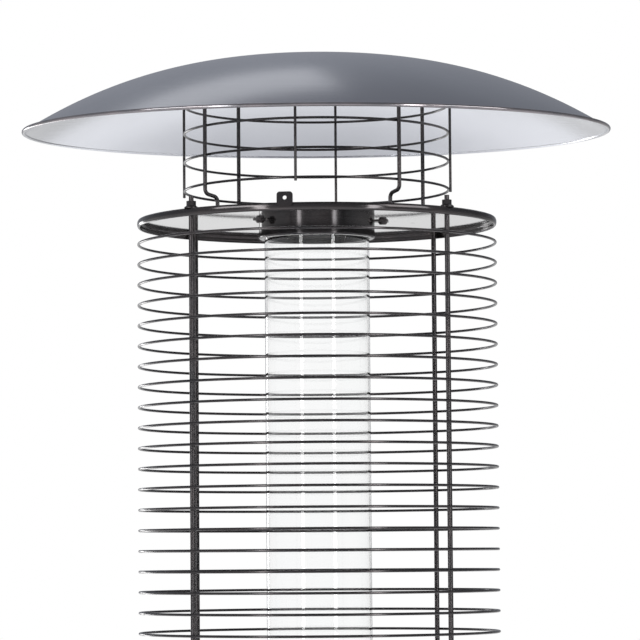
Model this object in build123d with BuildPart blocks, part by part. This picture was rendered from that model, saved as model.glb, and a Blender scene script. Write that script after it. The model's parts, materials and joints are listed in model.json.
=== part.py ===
from build123d import *
import os
from math import asin, cos, degrees, floor, radians, sin, sqrt, tan

os.makedirs("parts", exist_ok=True)

# Gas patio heater with a glass flame tube.  Millimetres, +Z up, the front faces -Y.
# The origin is on the floor, under the middle of the heater.
# A bearing is an angle in plan from the front (-Y), growing towards +X.

# ---- driving sizes -----------------------------------------------------------------
FOOT_H = 12.0            # rubber feet
FOOT_R = 20.0
FOOT_CIRCLE_R = 195.0
BASE_SHEET = 3.0
BASE_RIM_H = 22.0
BASE_RIM_SHEET = 2.0
HOUSING_D = 490.0        # round cabinet for the gas cylinder
HOUSING_H = 841.0
HOUSING_SHEET = 1.2
TOP_SHEET = 2.0          # burner deck that closes the cabinet
TOP_FLANGE_H = 20.0
TUBE_D = 135.5           # glass flame tube
TUBE_WALL = 3.0
TUBE_LENGTH = 1257.0
SEAT_FLOOR = 1.5
SEAT_WALL = 2.0
SEAT_H = 14.0
GASKET_T = 3.0
TOP_GASKET_T = 2.5
DECK_SHEET = 1.5         # plate on top of the cage
DECK_HOLE_R = 60.0
RIM_H = 10.0
RIM_SHEET = 1.5
RIM_LIP = 14.0
LIP_SHEET = 1.2
COLLAR_D = 150.0         # dark ring round the top of the tube
COLLAR_H = 22.0
CAGE_D = 465.0           # over the cage rings
CAGE_WIRE = 3.4
CAGE_ROD = 6.4
CAGE_PITCH = 26.35
CAGE_TOP_GAP = 28.7      # deck to the first ring
CAGE_LOW_GAP = 20.0      # least gap from the last ring to the burner deck
GUARD_D = 342.0          # upper guard, on the ring centres
GUARD_WIRE = 3.3
GUARD_THIN = 3.5
GUARD_LEG = 5.0
GUARD_PITCH = 37.2
GUARD_RINGS = 5
GUARD_TURN = -9.7        # bearing of the first thin upright
FOOT_STEP = 19.0         # how far each leg steps in above the deck
FOOT_STEP_H = 26.0
HOOD_D = 762.0           # heat reflector over its rolled rim
HOOD_RISE = 100.6
HOOD_POWER = 2.4         # fullness of the dome: 2 is a parabola
HOOD_SHEET = 1.0
HOOD_BEAD = 5.0
HOOD_TILT = 2.0          # the front edge hangs a little lower
HOOD_OVER_DECK = 112.8   # rim above the deck
CARRIER_H = 58.0         # carrier plate above the rim
CARRIER_SHEET = 2.5
DOOR_LOW = 60.0          # door opening above the base plate
DOOR_H = 620.0
DOOR_HALF = 46.0         # half the opening, as a bearing
DOOR_FLANGE = 10.0
DOOR_SHEET = 1.2
DOOR_GAP = 2.0
PANEL_W = 170.0          # control panel
PANEL_H = 84.0
PANEL_SHEET = 1.5
PANEL_REACH = 16.5       # how far its face stands out of the cabinet
PANEL_DROP = 50.0        # its middle under the top of the cabinet
KNOB_D = 52.0
KNOB_T = 24.0
KNOB_X = -34.0
BUTTON_R = 9.0
BUTTON_X = 44.0
CYLINDER_D = 304.0       # gas cylinder
CYLINDER_BARREL = 215.0
CYLINDER_WALL = 3.0
CYLINDER_FOOT_H = 30.0
CYLINDER_FOOT_R = 102.0
WHEEL_D = 100.0
WHEEL_W = 28.0
WHEEL_LIFT = 2.0         # wheels hang just clear of the floor
AXLE_R = 5.0
BRACKET_HALF = 70.0      # inside width of the wheel bracket, halved
BRACKET_SHEET = 3.0
FIT = 0.05               # radial clearance of a running fit
SLIP = 0.2               # radial clearance of a bolt or rod in its hole
SIT = 0.5                # clearance between covers that slip together

# ---- sizes that follow --------------------------------------------------------------
BASE_TOP = FOOT_H + BASE_SHEET
SHELL_R = HOUSING_D / 2
SHELL_IN = SHELL_R - HOUSING_SHEET
SHELL_TOP = BASE_TOP + HOUSING_H
BURNER_TOP = SHELL_TOP + TOP_SHEET
TUBE_R = TUBE_D / 2
TUBE_IN = TUBE_R - TUBE_WALL
TUBE_LOW = BURNER_TOP + SEAT_FLOOR + GASKET_T
TUBE_TOP = TUBE_LOW + TUBE_LENGTH
DECK_LOW = TUBE_TOP + TOP_GASKET_T
DECK_TOP = DECK_LOW + DECK_SHEET
RIM_TOP = DECK_TOP + LIP_SHEET
DECK_R = CAGE_D / 2
RING_R = (CAGE_D - CAGE_WIRE) / 2
ROD_R = RING_R - CAGE_WIRE / 2 - CAGE_ROD / 2 - 0.1
RING_TOP = DECK_LOW - CAGE_TOP_GAP
RING_COUNT = floor((RING_TOP - BURNER_TOP - CAGE_LOW_GAP) / CAGE_PITCH) + 1
ROD_BEARINGS = (45, 135, 225, 315)
GUARD_R = GUARD_D / 2
LEG_R = GUARD_R + GUARD_WIRE / 2 + GUARD_LEG / 2 + 0.1
THIN_R = GUARD_R + GUARD_WIRE / 2 + GUARD_THIN / 2 + 0.1
GUARD_LOW = DECK_TOP + GUARD_WIRE / 2
LEG_BEARINGS = [GUARD_TURN + 45 + 90 * turn for turn in range(4)]
THIN_BEARINGS = [GUARD_TURN + 90 * turn for turn in range(4)]
FOOT_RADIUS = LEG_R - FOOT_STEP
HOOD_R = HOOD_D / 2
HOOD_Z = DECK_TOP + HOOD_OVER_DECK
TILT = radians(HOOD_TILT)
HOOD_AXIS = Axis((0, 0, HOOD_Z), (0, -sin(TILT), cos(TILT)))
HOOD_SECTION = Plane((0, 0, HOOD_Z), x_dir=(1, 0, 0), z_dir=(0, -cos(TILT), -sin(TILT)))
HOOD_PLAN = Plane((0, 0, HOOD_Z), x_dir=(1, 0, 0), z_dir=(0, -sin(TILT), cos(TILT)))
PANEL_Z = SHELL_TOP - PANEL_DROP
PANEL_Y = -(SHELL_R + PANEL_REACH)


# ---- helpers ------------------------------------------------------------------------
def at(radius, bearing, z=0.0):
    """Point at a radius, bearing and height."""
    return (radius * sin(radians(bearing)), -radius * cos(radians(bearing)), z)


def outward(radius, bearing, z):
    """Plane on a round wall that faces outwards."""
    turn = radians(bearing)
    return Plane(at(radius, bearing, z), x_dir=(cos(turn), sin(turn), 0), z_dir=(sin(turn), -cos(turn), 0))


def keep(part, name):
    """Name a finished piece and write it."""
    part.label = name
    export_step(part, f"parts/{name}.step")


def keep_group(builders, name):
    """Write several finished solids as one named node."""
    solids = [solid for builder in builders for solid in builder.part.solids()]
    keep(Compound(children=solids), name)


def sector(r_in, r_out, start, end):
    """Flat face between two radii and two bearings."""
    with BuildSketch() as face:
        with BuildLine():
            CenterArc((0, 0), r_in, start - 90, end - start)
            CenterArc((0, 0), r_out, start - 90, end - start)
            Line(at(r_in, start), at(r_out, start))
            Line(at(r_in, end), at(r_out, end))
        make_face()
    return face.sketch


def nuts(places, flats, height, bore):
    """Hexagon nuts standing at the given places."""
    with BuildPart() as group:
        for x, y, z in places:
            with BuildSketch(Plane.XY.offset(z)):
                with Locations((x, y)):
                    RegularPolygon(flats / 2, 6, major_radius=False)
                    Circle(bore, mode=Mode.SUBTRACT)
            extrude(amount=height)
    return group


def wall_screws(name, rows, bearings, shank, head):
    """Group of pan-head screws driven inwards through round walls, in rows of (radius, height)."""
    with BuildPart() as group:
        for radius, z in rows:
            for bearing in bearings:
                with BuildSketch(outward(radius, bearing, z)):
                    Circle(head)
                extrude(amount=head * 0.6, taper=25)
                with BuildSketch(outward(radius, bearing, z)):
                    Circle(shank)
                extrude(amount=-SCREW_REACH)
    keep(group.part, name)


def wire_rings(radius, wire, heights):
    """Closed rings of wire about the middle axis; the section has eight sides, which keeps the many rings light."""
    with BuildPart() as rings:
        with BuildSketch(Plane.XZ):
            for z in heights:
                with Locations((radius, z)):
                    RegularPolygon(wire / 2, 8, major_radius=False, rotation=22.5)
        revolve(axis=Axis.Z)
    return rings


def pipe(radius, points, bend):
    """Round bar or pipe along straight runs joined by arcs."""
    with BuildPart() as body:
        with BuildLine() as route:
            FilletPolyline(*points, radius=bend)
        with BuildSketch(Plane(route.line @ 0, z_dir=route.line % 0)):
            Circle(radius)
        sweep()
    return body


# ---- base ---------------------------------------------------------------------------
SCREW_R = 2.0
SCREW_HEAD = 4.2
SCREW_REACH = 8.0
SCREW_BEARINGS = [30 + 60 * turn for turn in range(6)]
BASE_R = SHELL_R + SIT + BASE_RIM_SHEET
BASE_SCREW_Z = BASE_TOP + BASE_RIM_H / 2
FOOT_BOLT_R = 2.5
LOCATOR_H = 18.0
FOOT_BEARINGS = (45, 135, 225, 315)
ANCHOR_R = 5.0
ANCHOR_CIRCLE_R = 215.0
ANCHOR_BEARINGS = (0, 90, 180, 270)
BRACKET_BOLT_Y = 195.0
BRACKET_BOLT_X = 45.0
BRACKET_BOLTS = [(-BRACKET_BOLT_X, BRACKET_BOLT_Y), (BRACKET_BOLT_X, BRACKET_BOLT_Y)]

# Pan that everything stands on, with a turned-up rim round the cabinet.
with BuildPart() as base_plate:
    with BuildSketch(Plane.XY.offset(FOOT_H)):
        Circle(BASE_R)
    extrude(amount=BASE_SHEET)
    with BuildSketch(Plane.XY.offset(BASE_TOP)):
        Circle(BASE_R)
        Circle(BASE_R - BASE_RIM_SHEET, mode=Mode.SUBTRACT)
    extrude(amount=BASE_RIM_H)
    with BuildSketch(Plane.XY.offset(BASE_TOP)):
        Circle(CYLINDER_FOOT_R + 4)
        Circle(CYLINDER_FOOT_R + 2, mode=Mode.SUBTRACT)
    extrude(amount=LOCATOR_H)
    for bearing in FOOT_BEARINGS:
        with Locations(at(FOOT_CIRCLE_R, bearing, BASE_TOP)):
            Hole(FOOT_BOLT_R + SLIP, BASE_SHEET)
    for bearing in ANCHOR_BEARINGS:
        with Locations(at(ANCHOR_CIRCLE_R, bearing, BASE_TOP)):
            Hole(ANCHOR_R, BASE_SHEET)
    for x, y in BRACKET_BOLTS:
        with Locations((x, y, BASE_TOP)):
            Hole(FOOT_BOLT_R + SLIP, BASE_SHEET)
    for bearing in SCREW_BEARINGS:
        with Locations(outward(BASE_R, bearing, BASE_SCREW_Z)):
            Hole(SCREW_R + SLIP, 2 * BASE_RIM_SHEET)
keep(base_plate.part, "base_plate")

# Rubber feet with a recess for the bolt head.
FOOT_RECESS = 6.0
FOOT_RECESS_R = 6.0
with BuildPart() as base_feet:
    for bearing in FOOT_BEARINGS:
        with BuildSketch(Plane.XY.offset(FOOT_H)):
            with Locations(at(FOOT_CIRCLE_R, bearing)):
                Circle(FOOT_R)
        extrude(amount=-FOOT_H, taper=6)
        with Locations(Plane(at(FOOT_CIRCLE_R, bearing), z_dir=(0, 0, -1))):
            CounterBoreHole(FOOT_BOLT_R + SLIP, FOOT_RECESS_R, FOOT_RECESS, FOOT_H)
keep(base_feet.part, "base_feet")

BASE_NUT_H = 4.0
base_nut_places = [at(FOOT_CIRCLE_R, bearing, BASE_TOP) for bearing in FOOT_BEARINGS]
base_nut_places += [(x, y, BASE_TOP) for x, y in BRACKET_BOLTS]
keep_group([nuts(base_nut_places, 8, BASE_NUT_H, FOOT_BOLT_R + FIT)], "base_nuts")

# ---- wheels on a bracket behind the base ----------------------------------------------
AXLE_Z = WHEEL_D / 2 + WHEEL_LIFT
BRACKET_OUT = BRACKET_HALF + BRACKET_SHEET
WHEEL_X = BRACKET_OUT + 2 + WHEEL_W / 2
AXLE_Y = sqrt(BASE_R**2 - (BRACKET_OUT + 2) ** 2) + WHEEL_D / 2 + 5
EAR_Y = sqrt(BASE_R**2 - BRACKET_HALF**2) + 2
BRACKET_FRONT = 165.0
BRACKET_BACK = AXLE_Y + 14
BRACKET_LOW = FOOT_H - BRACKET_SHEET

with BuildPart() as wheel_bracket:
    with BuildSketch(Plane.XY.offset(BRACKET_LOW)):
        with Locations((0, (BRACKET_FRONT + BRACKET_BACK) / 2)):
            Rectangle(2 * BRACKET_OUT, BRACKET_BACK - BRACKET_FRONT)
    extrude(amount=BRACKET_SHEET)
    for side in (-1, 1):
        with BuildSketch(Plane.YZ.offset(side * (BRACKET_HALF + BRACKET_SHEET / 2))):
            with BuildLine():
                Polyline(
                    (EAR_Y, BRACKET_LOW),
                    (BRACKET_BACK, BRACKET_LOW),
                    (BRACKET_BACK, AXLE_Z + 12),
                    (AXLE_Y - 14, AXLE_Z + 12),
                    (EAR_Y, FOOT_H + 14),
                    close=True,
                )
            make_face()
            with Locations((AXLE_Y, AXLE_Z)):
                Circle(AXLE_R + SLIP, mode=Mode.SUBTRACT)
        extrude(amount=BRACKET_SHEET / 2, both=True)
    for x, y in BRACKET_BOLTS:
        with Locations((x, y, FOOT_H)):
            Hole(FOOT_BOLT_R + SLIP, BRACKET_SHEET)
keep(wheel_bracket.part, "wheel_bracket")

HUB_R = 11.0
WHEEL_RIM_R = WHEEL_D / 2 - 12
WEB_W = 8.0
for side, hand in ((-1, "left"), (1, "right")):
    middle = side * WHEEL_X
    with BuildPart() as wheel:
        with BuildSketch(Plane.YZ.offset(middle)):
            with Locations((AXLE_Y, AXLE_Z)):
                Circle(WHEEL_RIM_R)
                Circle(WHEEL_RIM_R - 4, mode=Mode.SUBTRACT)
                Circle(HUB_R)
                Circle(AXLE_R + FIT, mode=Mode.SUBTRACT)
        extrude(amount=WHEEL_W / 2, both=True)
        with BuildSketch(Plane.YZ.offset(middle)):
            with Locations((AXLE_Y, AXLE_Z)):
                Circle(WHEEL_RIM_R - 2)
                Circle(HUB_R - 2, mode=Mode.SUBTRACT)
                with PolarLocations((WHEEL_RIM_R + HUB_R) / 2 - 1, 5):
                    Circle(6, mode=Mode.SUBTRACT)
        extrude(amount=WEB_W / 2, both=True)
    keep(wheel.part, f"wheel_hub_{hand}")
    with BuildPart() as tyre:
        with BuildSketch(Plane.YZ.offset(middle)):
            with Locations((AXLE_Y, AXLE_Z)):
                Circle(WHEEL_D / 2)
                Circle(WHEEL_RIM_R, mode=Mode.SUBTRACT)
        extrude(amount=WHEEL_W / 2, both=True)
        fillet(tyre.edges().filter_by(GeomType.CIRCLE).sort_by(SortBy.RADIUS)[-2:], 5)
    keep(tyre.part, f"tyre_{hand}")

# Axle, with the push-on caps that hold the wheels.
CAP_T = 3.5
CAP_X = WHEEL_X + WHEEL_W / 2 + 1
with BuildPart() as axle:
    with BuildSketch(Plane.YZ):
        with Locations((AXLE_Y, AXLE_Z)):
            Circle(AXLE_R)
    extrude(amount=CAP_X + CAP_T + 1.5, both=True)
with BuildPart() as axle_caps:
    for side in (-1, 1):
        with BuildSketch(Plane.YZ.offset(side * CAP_X)):
            with Locations((AXLE_Y, AXLE_Z)):
                Circle(HUB_R - 2)
                Circle(AXLE_R + 0.02, mode=Mode.SUBTRACT)
        extrude(amount=side * CAP_T)
keep_group([axle, axle_caps], "axle")

# Bolts that hold the feet and the wheel bracket to the base.
BOLT_HEAD_H = 3.5
with BuildPart() as base_bolts:
    places = [(at(FOOT_CIRCLE_R, bearing)[:2], FOOT_RECESS) for bearing in FOOT_BEARINGS]
    places += [(place, BRACKET_LOW) for place in BRACKET_BOLTS]
    for place, seat in places:
        with BuildSketch(Plane.XY.offset(seat)):
            with Locations(place):
                Circle(FOOT_RECESS_R - 1)
        extrude(amount=-BOLT_HEAD_H)
        with BuildSketch(Plane.XY.offset(seat)):
            with Locations(place):
                Circle(FOOT_BOLT_R)
        extrude(amount=BASE_TOP - seat + BASE_NUT_H + 1)
keep(base_bolts.part, "base_bolts")

# ---- cabinet ----------------------------------------------------------------------------
DOOR_Z = BASE_TOP + DOOR_LOW
DOOR_TOP = DOOR_Z + DOOR_H
DOOR_EDGE = degrees(DOOR_GAP / SHELL_R)
DECK_SCREW_Z = SHELL_TOP - TOP_FLANGE_H / 2
SLOT_W = 60.0
SLOT_H = 6.0
SLOT_PITCH = 18.0
SLOT_ROWS = 5
HINGE_OUT = 6.0          # hinge axis outside the cabinet wall
HINGE_BEARING = -(DOOR_HALF + DOOR_EDGE / 2)
HINGE_R = SHELL_R + HINGE_OUT
HINGE_HEIGHTS = (DOOR_Z + 90, DOOR_TOP - 90)

with BuildPart() as housing_shell:
    with BuildSketch(Plane.XY.offset(BASE_TOP)):
        Circle(SHELL_R)
        Circle(SHELL_IN, mode=Mode.SUBTRACT)
    extrude(amount=HOUSING_H)
    with BuildSketch(Plane.XY.offset(DOOR_Z)):
        add(sector(SHELL_IN - 20, SHELL_R + 20, -DOOR_HALF, DOOR_HALF))
    extrude(amount=DOOR_H, mode=Mode.SUBTRACT)
    with BuildSketch(Plane.XZ.offset(-PANEL_Y)):
        with Locations((0, PANEL_Z)):
            RectangleRounded(PANEL_W + 2 * SIT, PANEL_H + 2 * SIT, 10)
    extrude(amount=-60, mode=Mode.SUBTRACT)
    for low in (BASE_TOP + 60, SHELL_TOP - 160):
        for row in range(SLOT_ROWS):
            with BuildSketch(Plane.XZ.offset(-SHELL_R - 20)):
                with GridLocations(SLOT_W + 30, 0, 2, 1):
                    with Locations((0, low + row * SLOT_PITCH)):
                        SlotOverall(SLOT_W, SLOT_H)
            extrude(amount=40, mode=Mode.SUBTRACT)
    for bearing in SCREW_BEARINGS:
        for z in (BASE_SCREW_Z, DECK_SCREW_Z):
            with Locations(outward(SHELL_R, bearing, z)):
                Hole(SCREW_R + FIT, 2 * HOUSING_SHEET)
keep(housing_shell.part, "housing_shell")

# ---- door --------------------------------------------------------------------------------
LEAF_IN = SHELL_R + FIT
LEAF_OUT = SHELL_R + 2.1
KNUCKLE_R = 4.5
KNUCKLE_H = 24.0
KNUCKLE_GAP = 0.5
PIN_R = 2.0
LEAF_W = 20.0
DOOR_HALF_LEAF = DOOR_HALF - DOOR_EDGE
DOOR_SKIN_LOW = DOOR_Z + DOOR_GAP
DOOR_SKIN_H = DOOR_H - 2 * DOOR_GAP
HINGE_TURN = degrees(LEAF_W / SHELL_R)
HINGE_SLIM = degrees(1.2 / SHELL_R)

# Pressed door: curved skin with a flange turned in along each edge.
with BuildPart() as door_panel:
    with BuildSketch(Plane.XY.offset(DOOR_SKIN_LOW)):
        add(sector(SHELL_R - DOOR_FLANGE, SHELL_R, -DOOR_HALF_LEAF, DOOR_HALF_LEAF))
    extrude(amount=DOOR_SKIN_H)
    with BuildSketch(Plane.XY.offset(DOOR_SKIN_LOW + DOOR_SHEET)):
        turn = degrees(DOOR_SHEET / SHELL_R)
        add(sector(SHELL_R - 2 * DOOR_FLANGE, SHELL_R - DOOR_SHEET, turn - DOOR_HALF_LEAF, DOOR_HALF_LEAF - turn))
    extrude(amount=DOOR_SKIN_H - 2 * DOOR_SHEET, mode=Mode.SUBTRACT)
keep(door_panel.part, "door_panel")

hinge_x, hinge_y, _ = at(HINGE_R, HINGE_BEARING)


def hinge_leaves(name, start, end, lift):
    """One leaf and its knuckle for each hinge."""
    with BuildPart() as leaves:
        for height in HINGE_HEIGHTS:
            low = height + lift
            with BuildSketch(Plane.XY.offset(low)):
                add(sector(LEAF_IN, LEAF_OUT, start, end))
                with Locations((hinge_x, hinge_y)):
                    Circle(KNUCKLE_R)
                    Circle(PIN_R + FIT, mode=Mode.SUBTRACT)
            extrude(amount=KNUCKLE_H)
    keep(leaves.part, name)


hinge_leaves("shell_hinge_leaves", HINGE_BEARING - HINGE_TURN, HINGE_BEARING - HINGE_SLIM * 0.1, 0)
hinge_leaves(
    "door_hinge_leaves", HINGE_BEARING + HINGE_SLIM * 0.1, HINGE_BEARING + HINGE_TURN, KNUCKLE_H + KNUCKLE_GAP
)
with BuildPart() as hinge_pins:
    for height in HINGE_HEIGHTS:
        with BuildSketch(Plane.XY.offset(height - 0.2)):
            with Locations((hinge_x, hinge_y)):
                Circle(KNUCKLE_R - 1)
        extrude(amount=-1.5)
        with BuildSketch(Plane.XY.offset(height - 1)):
            with Locations((hinge_x, hinge_y)):
                Circle(PIN_R)
        extrude(amount=2 * KNUCKLE_H + KNUCKLE_GAP + 2)
keep(hinge_pins.part, "hinge_pins")

HANDLE_BEARING = 38.0
HANDLE_R = 4.0
HANDLE_REACH = 24.0
HANDLE_SPAN = 90.0
HANDLE_Z = DOOR_Z + DOOR_H / 2
door_handle = pipe(
    HANDLE_R,
    [
        at(SHELL_R + 0.15, HANDLE_BEARING, HANDLE_Z - HANDLE_SPAN / 2),
        at(SHELL_R + HANDLE_REACH, HANDLE_BEARING, HANDLE_Z - HANDLE_SPAN / 2),
        at(SHELL_R + HANDLE_REACH, HANDLE_BEARING, HANDLE_Z + HANDLE_SPAN / 2),
        at(SHELL_R + 0.15, HANDLE_BEARING, HANDLE_Z + HANDLE_SPAN / 2),
    ],
    12,
)
keep(door_handle.part, "door_handle")

# Magnetic catch: a plate on the door meets a magnet held by a bracket on the wall.
CATCH_H = 40.0
STRIKE_OUT = SHELL_R - DOOR_FLANGE
STRIKE_T = 1.5
MAGNET_OUT = STRIKE_OUT - STRIKE_T - SIT
MAGNET_T = 10.0
CATCH_START = DOOR_HALF - 6
CATCH_END = DOOR_HALF - 1
with BuildPart() as door_strike:
    with BuildSketch(Plane.XY.offset(HANDLE_Z - CATCH_H / 2)):
        add(sector(STRIKE_OUT - STRIKE_T, STRIKE_OUT - 0.02, CATCH_START, CATCH_END))
    extrude(amount=CATCH_H)
keep(door_strike.part, "door_strike")
with BuildPart() as door_magnet:
    with BuildSketch(Plane.XY.offset(HANDLE_Z - CATCH_H / 2)):
        add(sector(MAGNET_OUT - MAGNET_T, MAGNET_OUT, CATCH_START, CATCH_END))
    extrude(amount=CATCH_H)
with BuildPart() as magnet_bracket:
    with BuildSketch(Plane.XY.offset(HANDLE_Z - CATCH_H / 2)):
        back = MAGNET_OUT - MAGNET_T
        add(sector(back - 2, back - 0.02, CATCH_START, DOOR_HALF + 3))
        add(sector(back - 2, SHELL_IN - 0.02, DOOR_HALF + 2.5, DOOR_HALF + 3))
        add(sector(SHELL_IN - 2, SHELL_IN - 0.02, DOOR_HALF + 2.5, DOOR_HALF + 8))
    extrude(amount=CATCH_H)
keep_group([door_magnet, magnet_bracket], "door_catch")

# ---- gas cylinder ------------------------------------------------------------------------
CYL_R = CYLINDER_D / 2
HEAD_RISE = CYL_R / 2
BARREL_LOW = BASE_TOP + CYLINDER_FOOT_H + HEAD_RISE - 18
BARREL_TOP = BARREL_LOW + CYLINDER_BARREL
NECK_R = 17.0
NECK_BORE = 9.0
NECK_TOP = BARREL_TOP + HEAD_RISE + 10
COLLAR_R = 96.0
CYL_COLLAR_T = 3.0
CYL_COLLAR_H = 112.0

with BuildPart() as gas_cylinder:
    with BuildSketch(Plane.XZ):
        with BuildLine():
            EllipticalCenterArc((0, BARREL_LOW), CYL_R, HEAD_RISE, 270, arc_size=90)
            Line((CYL_R, BARREL_LOW), (CYL_R, BARREL_TOP))
            EllipticalCenterArc((0, BARREL_TOP), CYL_R, HEAD_RISE, 0, arc_size=90)
            Line((0, BARREL_TOP + HEAD_RISE), (0, BARREL_LOW - HEAD_RISE))
        make_face()
        with Locations((NECK_R / 2, NECK_TOP - 15)):
            Rectangle(NECK_R, 30)
    revolve(axis=Axis.Z)
    with BuildSketch(Plane.XZ):
        with BuildLine():
            EllipticalCenterArc((0, BARREL_LOW), CYL_R - CYLINDER_WALL, HEAD_RISE - CYLINDER_WALL, 270, arc_size=90)
            Line((CYL_R - CYLINDER_WALL, BARREL_LOW), (CYL_R - CYLINDER_WALL, BARREL_TOP))
            EllipticalCenterArc((0, BARREL_TOP), CYL_R - CYLINDER_WALL, HEAD_RISE - CYLINDER_WALL, 0, arc_size=90)
            Line((0, BARREL_TOP + HEAD_RISE - CYLINDER_WALL), (0, BARREL_LOW - HEAD_RISE + CYLINDER_WALL))
        make_face()
        with Locations((NECK_BORE / 2, NECK_TOP - 20)):
            Rectangle(NECK_BORE, 42)
    revolve(axis=Axis.Z, mode=Mode.SUBTRACT)


def below_head(radius, base, sign):
    """Height of the domed end at a radius."""
    return base + sign * HEAD_RISE * sqrt(1 - (radius / CYL_R) ** 2)


with BuildPart() as cylinder_foot_ring:
    with BuildSketch(Plane.XZ):
        with BuildLine():
            inner = CYLINDER_FOOT_R - 3
            Polyline(
                (inner, BASE_TOP),
                (CYLINDER_FOOT_R, BASE_TOP),
                (CYLINDER_FOOT_R, below_head(CYLINDER_FOOT_R, BARREL_LOW, -1) - FIT),
                (inner, below_head(inner, BARREL_LOW, -1) - FIT),
                close=True,
            )
        make_face()
    revolve(axis=Axis.Z)
keep_group([gas_cylinder, cylinder_foot_ring], "gas_cylinder")

COLLAR_GATE = 48.0       # half of the collar's front opening, as a bearing
with BuildPart() as cylinder_collar:
    with BuildSketch(Plane.XZ):
        with BuildLine():
            inner = COLLAR_R - CYL_COLLAR_T
            Polyline(
                (COLLAR_R, below_head(COLLAR_R, BARREL_TOP, 1) + FIT),
                (COLLAR_R, BARREL_TOP + CYL_COLLAR_H + 50),
                (inner, BARREL_TOP + CYL_COLLAR_H + 50),
                (inner, below_head(inner, BARREL_TOP, 1) + FIT),
                close=True,
            )
        make_face()
    revolve(axis=Axis.Z)
    with BuildSketch(Plane.XY.offset(BARREL_TOP + HEAD_RISE + 14)):
        add(sector(COLLAR_R - 10, COLLAR_R + 10, -COLLAR_GATE, COLLAR_GATE))
    extrude(amount=CYL_COLLAR_H, mode=Mode.SUBTRACT)
    for bearing in (110, 250):
        with BuildSketch(outward(COLLAR_R, bearing, BARREL_TOP + CYL_COLLAR_H + 22)):
            SlotOverall(90, 30)
        extrude(amount=12, both=True, mode=Mode.SUBTRACT)
keep(cylinder_collar.part, "cylinder_collar")

VALVE_R = 13.0
VALVE_TOP = NECK_TOP + 44
OUTLET_Z = NECK_TOP + 24
WHEEL_SPINDLE_R = 4.0
with BuildPart() as cylinder_valve:
    with BuildSketch(Plane.XY.offset(NECK_TOP)):
        RegularPolygon(NECK_R - 2, 6, major_radius=False)
    extrude(amount=10)
    with BuildSketch(Plane.XY.offset(NECK_TOP + 10)):
        Circle(VALVE_R)
    extrude(amount=VALVE_TOP - NECK_TOP - 10)
    with BuildSketch(Plane.XY.offset(NECK_TOP)):
        Circle(NECK_BORE - FIT)
    extrude(amount=-20)
    with BuildSketch(Plane.YZ.offset(0)):
        with Locations((0, OUTLET_Z)):
            Circle(9)
    extrude(amount=-28)
    with Locations((0, 0, VALVE_TOP)):
        Hole(WHEEL_SPINDLE_R + FIT, 22)
keep(cylinder_valve.part, "cylinder_valve")

# Handwheel with its own spindle.
HAND_R = 30.0
with BuildPart() as cylinder_handwheel:
    with BuildSketch(Plane.XY.offset(VALVE_TOP + 3)):
        with PolarLocations(4, 6):
            Circle(HAND_R - 6)
        with PolarLocations(HAND_R + 2, 6, start_angle=30):
            Circle(5, mode=Mode.SUBTRACT)
    extrude(amount=14)
    with BuildSketch(Plane.XY.offset(VALVE_TOP + 3)):
        Circle(WHEEL_SPINDLE_R)
    extrude(amount=-18)
keep(cylinder_handwheel.part, "cylinder_handwheel")

# Regulator on the side outlet, with a barb for the hose.
REG_X = -28.0
BARB_X = -62.0
HOSE_R = 5.5
with BuildPart() as regulator:
    with BuildSketch(Plane.YZ.offset(REG_X - 0.05)):
        with Locations((0, OUTLET_Z)):
            RegularPolygon(12, 6, major_radius=False)
    extrude(amount=-16)
    with BuildSketch(Plane.YZ.offset(REG_X - 16)):
        with Locations((0, OUTLET_Z)):
            Circle(9)
    extrude(amount=-12)
    with BuildSketch(Plane.XY.offset(OUTLET_Z - 14)):
        with Locations((BARB_X, 0)):
            Circle(20)
    extrude(amount=28)
    with BuildSketch(Plane.XY.offset(OUTLET_Z + 14)):
        with Locations((BARB_X, 0)):
            Circle(6)
    extrude(amount=14)
keep(regulator.part, "regulator")

# Band and bracket that stop the cylinder from tipping.
STRAP_Z = BARREL_LOW + CYLINDER_BARREL / 2
STRAP_H = 25.0
with BuildPart() as cylinder_strap:
    with BuildSketch(Plane.XY.offset(STRAP_Z)):
        Circle(CYL_R + 2.0)
        Circle(CYL_R + 0.3, mode=Mode.SUBTRACT)
    extrude(amount=STRAP_H)
with BuildPart() as strap_bracket:
    with BuildSketch(Plane.XY.offset(STRAP_Z)):
        add(sector(CYL_R + 2.05, CYL_R + 4.5, 168, 192))
        add(sector(CYL_R + 2.05, SHELL_IN - 0.02, 169, 170))
        add(sector(CYL_R + 2.05, SHELL_IN - 0.02, 190, 191))
        add(sector(SHELL_IN - 2.5, SHELL_IN - 0.02, 163, 170))
        add(sector(SHELL_IN - 2.5, SHELL_IN - 0.02, 190, 197))
    extrude(amount=STRAP_H)
keep_group([cylinder_strap, strap_bracket], "cylinder_strap")

# ---- heat shield, burner deck and burner ---------------------------------------------------
SHIELD_Z = DOOR_TOP + 46
SHIELD_R = SHELL_IN - 0.3
SHIELD_SHEET = 1.0
SHIELD_FLANGE = 14.0
HOSE_X = BARB_X
with BuildPart() as heat_shield:
    with BuildSketch(Plane.XY.offset(SHIELD_Z)):
        Circle(SHIELD_R)
        with Locations((HOSE_X, 0)):
            Circle(HOSE_R + 3, mode=Mode.SUBTRACT)
    extrude(amount=SHIELD_SHEET)
    with BuildSketch(Plane.XY.offset(SHIELD_Z)):
        Circle(SHIELD_R)
        Circle(SHIELD_R - SHIELD_SHEET, mode=Mode.SUBTRACT)
    extrude(amount=SHIELD_FLANGE)
keep(heat_shield.part, "heat_shield")

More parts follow.
